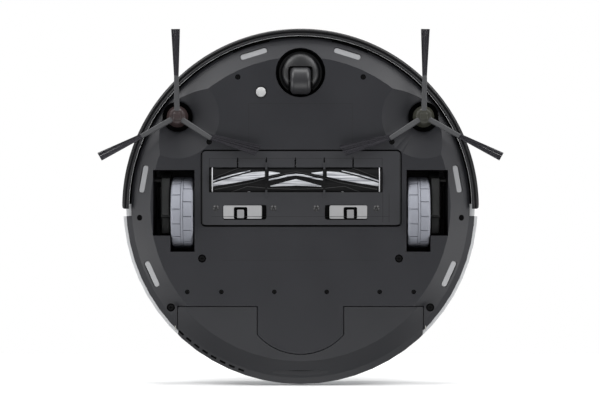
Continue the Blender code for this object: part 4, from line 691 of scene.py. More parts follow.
def copies_round_tree():
    """Copies of a mesh turned step by step about an axis through a centre."""
    tree, given, result = new_tree(
        "copies_round", Count="Int", Step="Float", Axis="Vector", Centre="Vector", Finish="Material"
    )
    start = {"Count": given.outputs["Count"], "Start Location": given.outputs["Centre"]}
    points = add_node(tree, "GeometryNodeMeshLine", {**start, "Offset": (0.0, 0.0, 0.0)})
    index = add_node(tree, "GeometryNodeInputIndex")
    steps = {0: index.outputs[0], 1: given.outputs["Step"]}
    angle = add_node(tree, "ShaderNodeMath", steps, operation="MULTIPLY")
    turned = {0: given.outputs["Axis"], "Scale": angle.outputs[0]}
    turn = add_node(tree, "ShaderNodeVectorMath", turned, operation="SCALE")
    copies = {"Points": points.outputs[0], "Instance": given.outputs["Geometry"], "Rotation": turn.outputs[0]}
    placed = add_node(tree, "GeometryNodeInstanceOnPoints", copies)
    tree.links.new(real_copies(tree, placed, given.outputs["Finish"]), result.inputs[0])
    return tree


COPIES_ROUND = copies_round_tree()


def copies_round(name, shape, material, count, axis, centre, step=None, sharp=30.0):
    """One mesh of a shape's copies, spread evenly over a whole turn unless a step is given."""
    base = shaped_mesh(name + "_one", shape, material, sharp)
    step = 2 * math.pi / count if step is None else step
    return grow(name, COPIES_ROUND, base, Count=count, Step=step, Axis=axis, Centre=centre, Finish=material)


def round_edges(shape, width, segments):
    """Rounds every edge of a bmesh."""
    bmesh.ops.bevel(
        shape,
        geom=shape.edges,
        offset=width,
        segments=segments,
        profile=0.5,
        affect="EDGES",
        clamp_overlap=True,
    )


def dress_node(material, *nodes):
    """Gives CAD nodes that stay in sight their material."""
    for node in nodes:
        mesh = frame["nodes"][node].data
        mesh.materials.clear()
        mesh.materials.append(material)


def brushed_steel(name, colour, roughness):
    """Bare metal with a fine drawn grain."""
    material = moulded_plastic(name, colour, roughness, grain=0.15, mottling=0.12, grain_size=0.0002)
    material.node_tree.nodes["Principled BSDF"].inputs["Metallic"].default_value = 1.0
    return material


TYRE_RUBBER = moulded_plastic("tyre_rubber", (0.262, 0.272, 0.310), 0.60, grain=0.5, mottling=0.07)
HUB_PLASTIC = moulded_plastic("hub_plastic", (0.012, 0.012, 0.013), 0.5)
GEARBOX_PLASTIC = moulded_plastic("gearbox_plastic", (0.022, 0.023, 0.022), 0.52, grain=0.4)
STEEL = brushed_steel("steel", (0.55, 0.55, 0.56), 0.30)
MOTOR_METAL = brushed_steel("motor_can", (0.42, 0.42, 0.43), 0.38)
TREAD_BLOCKS = 15
TREAD_GROOVE = 0.0009
TREAD_DEPTH = 0.0011
TYRE_WALL = 0.0082
ARM_DEPTH = 0.0088  # how far the visible gearbox reaches away from the wheel
ARM_PIVOT = (0.0270, 0.0420)
PIN_BORE = 0.0029
PIVOT_BOSS = 0.0080
for side, sign in SIDES:
    low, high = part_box(f"wheel_tyre_{side}")
    middle = (low + high) / 2
    radius = (high.z - low.z) / 2
    centre = (middle.y, middle.z)
    floor = radius - TREAD_DEPTH
    tyre = [(radius - TYRE_WALL, low.x), (radius - 0.0032, low.x), (radius - 0.0018, low.x + 0.0006)]
    tyre += [(floor, low.x + 0.0022), (floor, middle.x - 0.0011), (radius, middle.x - 0.0009)]
    tyre += [(radius, middle.x + 0.0009), (floor, middle.x + 0.0011), (floor, high.x - 0.0022)]
    tyre += [(radius - 0.0018, high.x - 0.0006), (radius - 0.0032, high.x), (radius - TYRE_WALL, high.x)]
    hub = f"wheel_hub_{side}"
    shape = lathe(tyre, centre, "X", steps=120)
    add_shape(f"drive_tyre_{side}", shape, TYRE_RUBBER, body_of(hub), "tyre", f"wheel_tyre_{side}")
    pitch = 360.0 / TREAD_BLOCKS
    groove = math.degrees(TREAD_GROOVE / radius)
    blocks = []
    for edge, toward, first in ((low.x, 1, 0.0), (high.x, -1, pitch / 2)):
        block = [(floor - 0.0004, middle.x - toward * 0.0015), (radius, middle.x - toward * 0.0015)]
        for down, across in ((0.0, 0.0030), (0.0003, 0.0018), (0.0012, 0.0007), (0.0026, 0.0004)):
            block.append((radius - down, edge + toward * across))
        blocks.append(lathe(block, (0, 0), "X", first, first + pitch - groove, 7))
    axle = (0.0, centre[0], centre[1])
    tread = copies_round(f"drive_tread_{side}", gather(*blocks), TYRE_RUBBER, TREAD_BLOCKS, (1, 0, 0), axle)
    add_piece(f"drive_tread_{side}", tread, body_of(hub), "tyre")
    dressed_copy(hub, f"drive_hub_{side}", HUB_PLASTIC, bevel=0.0003)

    arm = f"wheel_arm_{side}"
    low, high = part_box(arm)
    inner = low.x if sign > 0 else high.x
    outer = inner + sign * ARM_DEPTH
    x0, x1 = min(inner, outer), max(inner, outer)
    casing = [
        bar((x0, -0.0085, 0.0180), (x1, 0.0290, 0.0500)),
        bar((x0, -0.0270, 0.0240), (x1, -0.0095, 0.0480)),
        bar((x0, -0.0098, 0.0212), (x1, -0.0083, 0.0470)),
    ]
    boss = [(PIN_BORE, x0), (PIVOT_BOSS, x0), (PIVOT_BOSS, x1 + 0.001), (PIN_BORE, x1 + 0.001)]
    for shape in casing[:2]:
        round_edges(shape, 0.0016, 4)
    casing = gather(*casing, lathe(boss, ARM_PIVOT, "X"))
    add_shape(f"gearbox_casing_{side}", casing, GEARBOX_PLASTIC, body_of(arm), "dark_plastic", arm)
    dress_node(MOTOR_METAL, f"wheel_motor_{side}")
    # The steel pivot pin is dressed in black hub plastic as painted shade, since it lies deep in the wheel
    # well.
    dress_node(HUB_PLASTIC, f"arm_pivot_pin_{side}")
    dress_node(STEEL, f"suspension_spring_{side}")


# ---------------------------------------------------------------- caster
# A polished black dome on an upright stem turns in a round socket, and carries a hard black wheel on a
# steel axle behind its centre.


def carved(name, mesh, cutter):
    """A mesh with another shape cut out of it."""
    tool = bpy.data.objects.new("cutter", cutter)
    block = bpy.data.objects.new("block", mesh)
    for thing in (tool, block):
        bpy.context.scene.collection.objects.link(thing)
    cut = block.modifiers.new("cut", "BOOLEAN")
    cut.object = tool
    cut.operation = "DIFFERENCE"
    cut.solver = "EXACT"
    bpy.context.view_layer.update()
    made = bpy.data.meshes.new_from_object(block.evaluated_get(bpy.context.evaluated_depsgraph_get()))
    made.name = name
    made.set_sharp_from_angle(angle=math.radians(30.0))
    for thing in (tool, block):
        bpy.data.objects.remove(thing)
    return made


def rounded_prism(x0, y0, x1, y1, low, high, corner):
    """A rectangular block whose four upright edges are round."""
    outline = rounded_outline(x0, y0, x1, y1, corner)
    return skin([[(x, y, z) for x, y in outline] for z in (low, high)])


POLISHED_BLACK = moulded_plastic("polished_black", (0.013, 0.013, 0.014), 0.42, grain=0.03)
WHEEL_BLACK = moulded_plastic("wheel_black", (0.022, 0.022, 0.024), 0.40, grain=0.1)
low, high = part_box("caster_fork")
stem = (0.0, middle_of("caster_fork").y)
disc = (high.x - low.x) / 2
wheel_low, wheel_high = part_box("caster_wheel")
wheel_y = middle_of("caster_wheel").y
wheel_radius = (wheel_high.z - wheel_low.z) / 2
STEM_RADIUS = 0.0040
STEM_LENGTH = 0.0147
# (radius, height above the dome's lowest point)
DOME_OUTLINE = (
    (0.0, 0.0), (0.0050, 0.0002), (0.0100, 0.0008), (0.0140, 0.0018), (0.0168, 0.0033),
    (0.0185, 0.0053), (0.0193, 0.0080), (0.0195, 0.0135), (disc, 0.0140), (disc, 0.0185),
)
dome = [(radius, low.z + height) for radius, height in DOME_OUTLINE]
stem_foot = high.z - STEM_LENGTH
dome += [(0.0120, stem_foot), (STEM_RADIUS, stem_foot), (STEM_RADIUS, high.z), (0.0, high.z)]
dome_mesh = shaped_mesh("dome_blank", lathe(dome, stem, steps=96), POLISHED_BLACK)
ROOM_HALF = 0.0121
ROOM_REAR = 0.0158
ROOM_FRONT = 0.0142
ROOM_TOP = 0.0265
walls = (-ROOM_HALF, wheel_y - ROOM_REAR, ROOM_HALF, wheel_y + ROOM_FRONT)
room = rounded_prism(*walls, -0.01, ROOM_TOP, 0.0030)
room_mesh = shaped_mesh("wheel_room", room, POLISHED_BLACK)
dome_mesh = carved("caster_dome", dome_mesh, room_mesh)
add_piece("caster_dome", dome_mesh, body_of("caster_fork"), "dark_plastic", "caster_fork")
half = (wheel_high.x - wheel_low.x) / 2
SHOULDER = 0.0042
tread = [(0.0015, -half), (wheel_radius - SHOULDER - 0.0010, -half)]
for i in range(7):
    turn = math.radians(15.0 * i)
    tread.append((wheel_radius - SHOULDER * (1 - math.sin(turn)), -half + SHOULDER * (1 - math.cos(turn))))
tread += [(r, -x) for r, x in reversed(tread)]
roller = lathe(tread, (wheel_y, wheel_radius), "X", steps=72)
add_shape("caster_roller", roller, WHEEL_BLACK, body_of("caster_wheel"), "roller_rubber", "caster_wheel")
dress_node(HUB_PLASTIC, "caster_axle")
well = flat_ring(0.0198, disc - 0.0002, low.z + 0.0137, low.z + 0.0139, stem)
add_shape("caster_shadow_ring", well, SHADE_BLACK, body_of("caster_fork"), "dark_plastic")


# ---------------------------------------------------------------- side brushes
# A hub with a square cap drives three stiff grey arms. Each arm is moulded round a flat tuft of nylon
# bristles that fans out towards its tip.


def tuft_tree():
    """Bristles that follow a tuft's middle line and fan out towards the tip."""
    sizes = {"Root": "Float", "Fan": "Float", "Depth": "Float", "Hair": "Float"}
    tree, given, result = new_tree("bristle_tuft", Count="Int", Seed="Int", Finish="Material", **sizes)
    lines = add_node(tree, "GeometryNodeMeshToCurve", {"Mesh": given.outputs["Geometry"]})
    amount = {"Geometry": lines.outputs[0], "Amount": given.outputs["Count"]}
    many = add_node(tree, "GeometryNodeDuplicateElements", amount, domain="SPLINE")
    own = add_node(tree, "GeometryNodeInputIndex")
    number = {"Geometry": many.outputs["Geometry"], "Name": "hair", "Value": own.outputs[0]}
    stored = add_node(tree, "GeometryNodeStoreNamedAttribute", number, data_type="INT", domain="CURVE")
    hair = add_node(tree, "GeometryNodeInputNamedAttribute", {"Name": "hair"}, data_type="INT")
    side = add_node(tree, "GeometryNodeInputNamedAttribute", {"Name": "side"}, data_type="FLOAT_VECTOR")

    def math_node(operation, first, second, kind="ShaderNodeMath"):
        return add_node(tree, kind, {0: first, 1: second}, operation=operation).outputs[0]

    def scatter(seed):
        draw = {"ID": hair.outputs[0], "Seed": seed, 2: -1.0, 3: 1.0}
        return add_node(tree, "FunctionNodeRandomValue", draw, data_type="FLOAT").outputs[1]

    spread = scatter(given.outputs["Seed"])
    layer = scatter(math_node("ADD", given.outputs["Seed"], 7.0))
    along = add_node(tree, "GeometryNodeSplineParameter")
    span = {"Value": along.outputs["Factor"], "To Min": given.outputs["Root"], "To Max": given.outputs["Fan"]}
    width = add_node(tree, "ShaderNodeMapRange", span)
    pushed = {0: side.outputs[0], "Scale": math_node("MULTIPLY", spread, width.outputs[0])}
    across = add_node(tree, "ShaderNodeVectorMath", pushed, operation="SCALE")
    height = math_node("MULTIPLY", layer, given.outputs["Depth"])
    up = add_node(tree, "ShaderNodeCombineXYZ", {"Z": height})
    shift = math_node("ADD", across.outputs[0], up.outputs[0], "ShaderNodeVectorMath")
    bent = add_node(tree, "GeometryNodeSetPosition", {"Geometry": stored.outputs[0], "Offset": shift})
    outline = {"Resolution": 3, "Radius": given.outputs["Hair"]}
    section = add_node(tree, "GeometryNodeCurvePrimitiveCircle", outline)
    swept = {"Curve": bent.outputs[0], "Profile Curve": section.outputs[0], "Fill Caps": True}
    hairs = add_node(tree, "GeometryNodeCurveToMesh", swept)
    tree.links.new(real_copies(tree, hairs, given.outputs["Finish"]), result.inputs[0])
    return tree


def bristle_fibre(name, dark, pale, stretch=None, specular=0.5):
    """Nylon fibre: each hair its own tone or, for rows too fine to model singly, streaks along them."""
    material, tree, shader = new_material(name)
    shader.inputs["Roughness"].default_value = 0.55
    shader.inputs["Specular IOR Level"].default_value = specular
    if stretch:
        place = add_node(tree, "ShaderNodeTexCoord")
        pulled = add_node(tree, "ShaderNodeMapping", {"Vector": place.outputs["Object"], "Scale": stretch})
        noise = {"Vector": pulled.outputs[0], "Scale": 1.0, "Detail": 3.0}
        streaks = add_node(tree, "ShaderNodeTexNoise", noise)
        span = {"Value": streaks.outputs["Fac"], "From Min": 0.35, "From Max": 0.65}
        even = add_node(tree, "ShaderNodeMapRange", span)
    else:
        hair = add_node(tree, "ShaderNodeAttribute", attribute_name="hair")
        even = add_node(tree, "ShaderNodeTexWhiteNoise", {"W": hair.outputs["Fac"]}, noise_dimensions="1D")
    tones = {0: even.outputs[0], 6: (*dark, 1.0), 7: (*pale, 1.0)}
    tone = add_node(tree, "ShaderNodeMix", tones, data_type="RGBA")
    tree.links.new(tone.outputs[2], shader.inputs["Base Color"])
    return material


TUFT_TREE = tuft_tree()
ARM_GREY = moulded_plastic("sweeper_arm_grey", (0.058, 0.059, 0.062), 0.55, grain=0.3)
TUFT_FIBRE = bristle_fibre("tuft_fibre", (0.006, 0.0055, 0.008), (0.066, 0.064, 0.073), specular=0.15)
HUB_COLOURS = {"right": (0.034, 0.022, 0.022), "left": (0.030, 0.030, 0.022)}
# direction of each arm in degrees, how far its tip swings aside, and how wide its tuft fans
ARM_LAYOUT = ((89.3, 0.0, 1.0), (213.0, -0.0152, 1.40), (330.6, 0.0025, 1.0))
CAP_HALF = 0.0036
CAP_FOOT = Vector((0.0, 0.0, 0.0036))
CAP_TOP = Vector((0.0, 0.0, 0.0056))
TUFT_START = 0.0360
REACH = 0.0855
TUFT_HEIGHTS = (0.0036, 0.0006)  # at the arm and at the tip
TUFT_SIZES = {"Count": 110, "Root": 0.0020, "Fan": 0.0042, "Depth": 0.00024, "Hair": 0.00022}


def arm_frame(sign, degrees):
    """Directions along an arm and across it."""
    angle = math.radians(degrees if sign > 0 else 180.0 - degrees)
    along = Vector((math.cos(angle), math.sin(angle), 0.0))
    across = Vector((-along.y, along.x, 0.0)) * sign
    return along, across


def arm_shape(centre, along, across):
    """A stiff arm, thicker at the hub, with a rounded back."""
    stations = (  # (distance, half width, low, high)
        (0.0030, 0.0027, 0.0052, 0.0088), (0.0200, 0.0026, 0.0036, 0.0066), (0.0330, 0.0024, 0.0025, 0.0052),
        (0.0385, 0.0023, 0.0020, 0.0046), (0.0400, 0.0021, 0.0022, 0.0042),
    )
    section = ((-1, 0.35), (-0.7, 0), (0.7, 0), (1, 0.35), (1, 0.8), (0.8, 1), (-0.8, 1), (-1, 0.8))
    rings = []
    for distance, half_width, low, high in stations:
        spine = centre + along * distance
        ring = []
        for s, h in section:
            point = spine + across * (s * half_width)
            ring.append((point.x, point.y, low + h * (high - low)))
        rings.append(ring)
    return skin(rings)


for side, sign in SIDES:
    node = f"side_brush_{side}"
    body = body_of(node)
    centre = middle_of(f"side_brush_motor_{side}")
    centre.z = 0.0
    axle_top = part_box(node)[1].z
    hub_colour = moulded_plastic(f"sweeper_hub_{side}", HUB_COLOURS[side], 0.42, coat=0.2)
    hub = [(0.0, 0.0046), (0.0040, 0.0046), (0.0066, 0.0052), (0.0080, 0.0068), (0.0084, 0.0090)]
    hub += [(0.0104, 0.0125), (0.0106, 0.0164), (0.0029, 0.0164), (0.0029, axle_top), (0.0, axle_top)]
    corner = Vector((CAP_HALF, CAP_HALF, 0.0))
    cap = bar(centre - corner + CAP_FOOT, centre + corner + CAP_TOP)
    round_edges(cap, 0.0008, 3)
    hub_shape = gather(lathe(hub, centre, steps=48), cap)
    arms = []
    spines = bpy.data.meshes.new(f"spines_{side}")
    points, edges, sideways = [], [], []
    for degrees, swing, fan in ARM_LAYOUT:
        along, across = arm_frame(sign, degrees)
        arms.append(arm_shape(centre, along, across))
        for i in range(9):
            t = i / 8
            distance = TUFT_START + (REACH - TUFT_START) * t
            point = centre + along * distance + across * (swing * t)
            point.z = TUFT_HEIGHTS[0] * (1 - t) + TUFT_HEIGHTS[1] * t
            if i:
                edges.append((len(points) - 1, len(points)))
            points.append(point)
            sideways.append(across * fan)
    spines.from_pydata(points, edges, [])
    aside = spines.attributes.new("side", "FLOAT_VECTOR", "POINT")
    aside.data.foreach_set("vector", [v for across in sideways for v in across])
    tufts = grow(f"sweeper_tufts_{side}", TUFT_TREE, spines, Seed=5, Finish=TUFT_FIBRE, **TUFT_SIZES)
    add_shape(f"sweeper_hub_{side}", hub_shape, hub_colour, body, "sweeper", node)
    add_shape(f"sweeper_arms_{side}", gather(*arms), ARM_GREY, body, "sweeper")
    add_piece(f"sweeper_tufts_{side}", tufts, body, "sweeper")
    dress_node(MOTOR_METAL, f"side_brush_motor_{side}")


# ---------------------------------------------------------------- roller brush
# A black core with six rows of bristles wound round it. Pale bristles fill a tapering band towards each
# end and a chevron in the middle of every row, beside thin rubber wipers. A pale ring closes each end.

low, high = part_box("main_brush")
ROLLER_X = (low.x + 0.0040, high.x - 0.0050)
ROLLER_MIDDLE = (ROLLER_X[0] + ROLLER_X[1]) / 2
ROLLER_AXIS = middle_of("main_brush").yz
ROLLER_RADIUS = (high.z - low.z) / 2
ROLLER_ROWS = 6
BLACK_TONES = ((0.001, 0.001, 0.0012), (0.006, 0.006, 0.007))
ROLLER_BLACK = bristle_fibre("roller_black", *BLACK_TONES, (30.0, 900.0, 900.0), specular=0.15)
ROLLER_PALE = bristle_fibre("roller_pale", (0.17, 0.175, 0.195), (0.66, 0.67, 0.70), (40.0, 900.0, 900.0))
ROLLER_WIPER = moulded_plastic("roller_wiper", (0.010, 0.010, 0.011), 0.5, grain=0.1)
RING_WHITE = moulded_plastic("roller_ring_white", (0.62, 0.62, 0.64), 0.4)


def band(stations, proud):
    """A curved patch on each half of the roller, from (distance from the middle, first, last degree)."""
    halves = []
    for sign in (-1, 1):
        rings = []
        for across, first, last in stations:
            ring = []
            for radius, share in ((0, 0.0), (1, 0.06), (1, 0.35), (1, 0.65), (1, 0.94), (0, 1.0)):
                angle = math.radians(first + (last - first) * share)
                reach = ROLLER_RADIUS + proud - (0.0 if radius else 0.0016)
                x = ROLLER_MIDDLE + sign * across
                ring.append((x, reach * math.sin(angle), -reach * math.cos(angle)))
            rings.append(ring)
        halves.append(skin(rings))
    return gather(*halves)


def smooth(stations):
    """Adds three evenly spaced stations between each two given ones."""
    out = [stations[0]]
    for before, after in zip(stations, stations[1:]):
        for share in (0.25, 0.50, 0.75, 1.0):
            out.append(tuple(a + (b - a) * share for a, b in zip(before, after)))
    return out


core = [(0.0, low.x), (0.0058, low.x), (0.0058, ROLLER_X[0]), (ROLLER_RADIUS - 0.0009, ROLLER_X[0])]
core += [(ROLLER_RADIUS - 0.0009, ROLLER_X[1]), (0.0039, ROLLER_X[1]), (0.0039, high.x), (0.0, high.x)]
body = body_of("main_brush")
core_shape = lathe(core, ROLLER_AXIS, "X", steps=96)
add_shape("roller_core", core_shape, ROLLER_BLACK, body, "roller_rubber", "main_brush")

# each pale stroke on one half of the roller: (distance from the middle, first degree, last degree)
INNER_PIECE = ((0.0155, 17.0, 18.5), (0.0266, 9.9, 23.4))
OUTER_BAND = ((0.0305, 7.3, 23.6), (0.0430, -1.0, 21.5), (0.0610, -10.0, 8.5), (0.0815, -18.5, -9.0))
OUTER_LINE = ((0.0450, 23.5, 26.0), (0.0610, 12.0, 15.5), (0.0700, 4.5, 8.5), (0.0815, -5.5, -2.0))
CHEVRON = ((0.0, -17.0, 2.5), (0.0120, -18.0, -6.5), (0.0250, -19.0, -17.0))
CHEVRON_LINE = ((0.0, 11.0, 16.5), (0.0080, 8.5, 14.0), (0.0180, 1.5, 6.5), (0.0266, -2.5, 1.9))
PALE_ROWS = (INNER_PIECE, OUTER_BAND, OUTER_LINE, CHEVRON, CHEVRON_LINE)
pale = gather(*[band(smooth(row), -0.0004) for row in PALE_ROWS])
axle = (0.0, *ROLLER_AXIS)
pale_rows = copies_round("roller_pale_rows", pale, ROLLER_PALE, ROLLER_ROWS, (1, 0, 0), axle, sharp=60)
add_piece("roller_pale_rows", pale_rows, body, "roller_rubber")
WIPERS = (
    ((0.0, 20.5, 22.3), (0.0200, 10.0, 11.8), (0.0420, -8.0, -6.2), (0.0800, -28.0, -26.2)),
    ((0.0, 33.0, 34.6), (0.0250, 35.0, 36.6), (0.0480, 41.0, 42.6), (0.0800, 5.0, 6.6)),
)
fins = gather(*[band(smooth(row), -0.0002) for row in WIPERS])
wipers = copies_round("roller_wipers", fins, ROLLER_WIPER, ROLLER_ROWS, (1, 0, 0), axle, sharp=60)
add_piece("roller_wipers", wipers, body, "roller_rubber")
rings = []
for end, toward in ((ROLLER_X[0], 1), (ROLLER_X[1], -1)):
    at = end + toward * 0.0022
    far = at + toward * 0.0009
    foot = ROLLER_RADIUS - 0.0030
    ring = [(foot, at), (ROLLER_RADIUS, at), (ROLLER_RADIUS, far), (foot, far)]
    rings.append(lathe(ring, ROLLER_AXIS, "X", steps=72))
add_shape("roller_rings", gather(*rings), RING_WHITE, body, "roller_rubber")
GUARD_RIBS = (-0.0234, 0.0337)  # where the cover's two ribs cross the roller
grooves = []
for x in GUARD_RIBS:
    inside, outside = ROLLER_RADIUS - 0.0016, ROLLER_RADIUS + 0.0003
    groove = [(inside, x - 0.0010), (outside, x - 0.0010), (outside, x + 0.0010), (inside, x + 0.0010)]
    grooves.append(lathe(groove, ROLLER_AXIS, "X", steps=72))
add_shape("roller_grooves", gather(*grooves), ROLLER_BLACK, body, "roller_rubber")
RAW_BLACK = moulded_plastic("inner_black", (0.010, 0.010, 0.011), 0.6)
dress_node(RAW_BLACK, "brush_end_cap", "brush_housing", "brush_gearbox")
dress_node(MOTOR_METAL, "brush_motor")


# ---------------------------------------------------------------- brush cover
# A grey-black frame that clips over the roller. Two ribs cross its mouth, a comb of slits lies in front,
# and two pale grey sliding latches hold its rear edge. Four small domes stiffen it beside them.

COVER_PLASTIC = moulded_plastic("cover_plastic", (0.026, 0.0265, 0.030), 0.44)
LATCH_PLASTIC = moulded_plastic("latch_plastic", (0.34, 0.34, 0.345), 0.42, grain=0.4)
dressed_copy("brush_cover", "brush_guard", COVER_PLASTIC, bevel=0.0003)
low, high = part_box("brush_cover")
cover_body = body_of("brush_cover")
COVER_FACE = TRAY_FACE - 0.0010


def inlay(x0, y0, x1, y1, proud=0.00004):
    """A hair-thin dark line let into the cover's flat face."""
    low_corner = (min(x0, x1), min(y0, y1), COVER_FACE - proud)
    return bar(low_corner, (max(x0, x1), max(y0, y1), COVER_FACE + 0.0001))


MOUTH_REAR = 0.0152
MOUTH_FRONT = 0.0386
COMB_FRONT = 0.0477
MOUTH_LEFT = -0.0808
MOUTH_RIGHT = 0.0900
lines = []
for x in (low.x + 0.0002, high.x - 0.0010):
    lines.append(inlay(x, low.y + 0.0010, x + 0.0008, high.y - 0.0022))
lines.append(inlay(MOUTH_LEFT, MOUTH_REAR - 0.0011, MOUTH_RIGHT, MOUTH_REAR - 0.0005))
lines.append(inlay(MOUTH_LEFT, COMB_FRONT, MOUTH_RIGHT, COMB_FRONT + 0.0003))
for x in (MOUTH_RIGHT - 0.0004, MOUTH_LEFT + 0.0002):
    lines.append(inlay(x, MOUTH_FRONT, x + 0.0005, COMB_FRONT))
for x in (-0.0874, -0.0812):
    lines.append(inlay(x, -0.0150, x + 0.0004, MOUTH_REAR - 0.002))
lines.append(inlay(-0.0870, -0.0096, 0.0880, -0.0093))
add_shape("guard_lines", gather(*lines), SEAM_PLASTIC, cover_body, "cover")

# Black bars of painted shade in the gap round the brush cover.
GUARD_GAP = 0.0010
GAP_FOOT = 0.0102
GAP_TOP = 0.0112
gap = [
    bar((low.x - GUARD_GAP, high.y + 0.0006, GAP_FOOT), (high.x + GUARD_GAP, high.y + GUARD_GAP, GAP_TOP)),
    bar((low.x - GUARD_GAP, low.y - GUARD_GAP, GAP_FOOT), (high.x + GUARD_GAP, low.y - 0.0001, GAP_TOP)),
    bar((low.x - GUARD_GAP, low.y, GAP_FOOT), (low.x - 0.0002, high.y - 0.0020, GAP_TOP)),
    bar((high.x + 0.0002, low.y, GAP_FOOT), (high.x + GUARD_GAP, high.y - 0.0020, GAP_TOP)),
]
add_shape("guard_gap_painted_shade", gather(*gap), SHADE_BLACK, "root", "dark_plastic")

SLITS = 5
FIRST_SLIT = -0.0518
SLIT_PITCH = 0.0284
# Each slit of the comb is a black strip of painted shade.
comb = inlay(-0.0004, MOUTH_FRONT + 0.0002, 0.0004, COMB_FRONT + 0.0010, proud=0.00006)
comb_mesh = shaped_mesh("comb_slit_shade", comb, SHADE_BLACK)


def row_tree():
    """Copies of a mesh along a straight row."""
    inputs = {"First": "Vector", "Pitch": "Vector"}
    tree, given, result = new_tree("row_of_copies", Count="Int", Finish="Material", **inputs)
    line = {"Count": given.outputs["Count"], "Start Location": given.outputs["First"]}
    points = add_node(tree, "GeometryNodeMeshLine", {**line, "Offset": given.outputs["Pitch"]})
    copies = {"Points": points.outputs[0], "Instance": given.outputs["Geometry"]}
    placed = add_node(tree, "GeometryNodeInstanceOnPoints", copies)
    tree.links.new(real_copies(tree, placed, given.outputs["Finish"]), result.inputs[0])
    return tree


ROW = row_tree()
row = {"Count": SLITS, "First": (FIRST_SLIT, 0.0, 0.0), "Pitch": (SLIT_PITCH, 0.0, 0.0), "Finish": SHADE_BLACK}
add_piece("guard_comb_shade", grow("guard_comb_shade", ROW, comb_mesh, **row), cover_body, "cover")

BOSS_SPOTS = ((0.0832, -0.0012), (0.0265, -0.0012), (-0.0155, -0.0012), (-0.0747, -0.0012))
DOME_PROFILE = [(0.0, -0.0013), (0.0010, -0.0012), (0.0019, -0.0008)]
DOME_PROFILE += [(0.0026, -0.0002), (0.0034, 0.0001), (0.0, 0.0001)]
DOME_BLACK = moulded_plastic("dome_black", (0.012, 0.012, 0.013), 0.36, grain=0.03)
domes = []
for spot in BOSS_SPOTS:
    profile = [(radius, COVER_FACE + height) for radius, height in DOME_PROFILE]
    domes.append(lathe(profile, spot, steps=32))
add_shape("guard_domes", gather(*domes), DOME_BLACK, cover_body, "cover", sharp=50)

PIN_GREY = moulded_plastic("latch_pin_grey", (0.24, 0.24, 0.245), 0.40)
LATCH_NOTCH = 0.0134
LATCH_NOTCH_SHIFT = 0.0020
LATCH_CORNER = 0.0016
LATCH_SLIDE = 0.0042
PIN_RADIUS = 0.0034
PIN_FLATNESS = 0.14
for side, sign in SIDES:
    node = f"cover_latch_{side}"
    latch_body = body_of(node)
    low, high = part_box(node)
    notch = middle_of(node).x + sign * LATCH_NOTCH_SHIFT
    left, right = notch - LATCH_NOTCH / 2, notch + LATCH_NOTCH / 2
    notch_front = high.y - 0.0016
    blank = rounded_prism(low.x, low.y, high.x, high.y, low.z, high.z, LATCH_CORNER)
    cutter = rounded_prism(left, low.y - 0.004, right, notch_front, 0.0, low.z + 0.0012, LATCH_CORNER)
    pads = carved(
        f"guard_latch_{side}",
        shaped_mesh(f"latch_blank_{side}", blank, LATCH_PLASTIC),
        shaped_mesh(f"latch_cutter_{side}", cutter, LATCH_PLASTIC),
    )
    add_piece(f"guard_latch_{side}", pads, latch_body, "latch", node)
    toward = low.x if sign > 0 else high.x
    # Black strips of painted shade in the room each latch slides in and behind its rear edge.
    room = gather(
        inlay(toward, low.y - 0.0002, toward - sign * LATCH_SLIDE, high.y + 0.0002),
        inlay(low.x + 0.0006, low.y - 0.0010, high.x - 0.0006, low.y - 0.0002),
    )
    add_shape(f"latch_room_shade_{side}", room, SHADE_BLACK, cover_body, "cover")
    # A black plate of painted shade on the floor of each latch's notch.
    depth = (low.z + 0.0010, low.z + 0.0013)
    room = rounded_prism(left + 0.0001, low.y, right - 0.0001, notch_front, *depth, 0.0014)
    add_shape(f"latch_notch_shade_{side}", room, SHADE_BLACK, latch_body, "latch")
    rear, front = low.y + 0.0006, high.y - 0.0042
    profile = [(0.0, rear), (PIN_RADIUS - 0.0003, rear), (PIN_RADIUS, rear + 0.0004)]
    profile += [(PIN_RADIUS, front - 0.0006), (PIN_RADIUS - 0.0006, front), (0.0, front)]
    pin = lathe(profile, (notch, 0.0), "Y", steps=40)
    for vert in pin.verts:
        vert.co.z = low.z + PIN_FLATNESS * vert.co.z
    add_shape(f"latch_pin_{side}", pin, PIN_GREY, latch_body, "latch")


# ---------------------------------------------------------------- water tank
# A black tank that slides in from the rear, held by a sprung tongue. It has a finger recess underneath,
# two small charging contacts at its front corners, and a rubber filler plug on top.

TANK_PLASTIC = moulded_plastic("tank_plastic", (0.019, 0.0195, 0.0225), 0.46)
dressed_copy("water_tank", "mopping_tank", TANK_PLASTIC)
tank_body = body_of("water_tank")
GRIP_LIP = 0.1614
lip_height = slope_height(GRIP_LIP)
GRIP_SPAN = (259.9, 280.1)
lip = (GRIP_LIP - 0.0009, GRIP_LIP + 0.0007, lip_height - 0.0006, lip_height + 0.0006)
shade = flat_ring(*lip, (0, 0), *GRIP_SPAN, 24)
add_shape("grip_shadow", shade, SHADE_BLACK, tank_body, "dark_plastic")
PLUG_RUBBER = moulded_plastic("plug_rubber", (0.05, 0.05, 0.055), 0.7)
dress_node(PLUG_RUBBER, "tank_plug")
CONTACT_METAL = brushed_steel("contact_metal", (0.60, 0.58, 0.52), 0.28)
CONTACT_X = 0.1233
CONTACT_Y = -0.1190
contacts = []
for sign in (-1, 1):
    pad = bar(
        (sign * CONTACT_X - 0.0004, CONTACT_Y - 0.0020, TRAY_FACE - 0.00012),
        (sign * CONTACT_X + 0.0004, CONTACT_Y + 0.0020, TRAY_FACE + 0.0002),
    )
    bmesh.ops.bevel(pad, geom=pad.edges, offset=0.00005, segments=1, profile=0.5, affect="EDGES")
    contacts.append(pad)
add_shape("charging_contacts", gather(*contacts), CONTACT_METAL, "root", "steel")

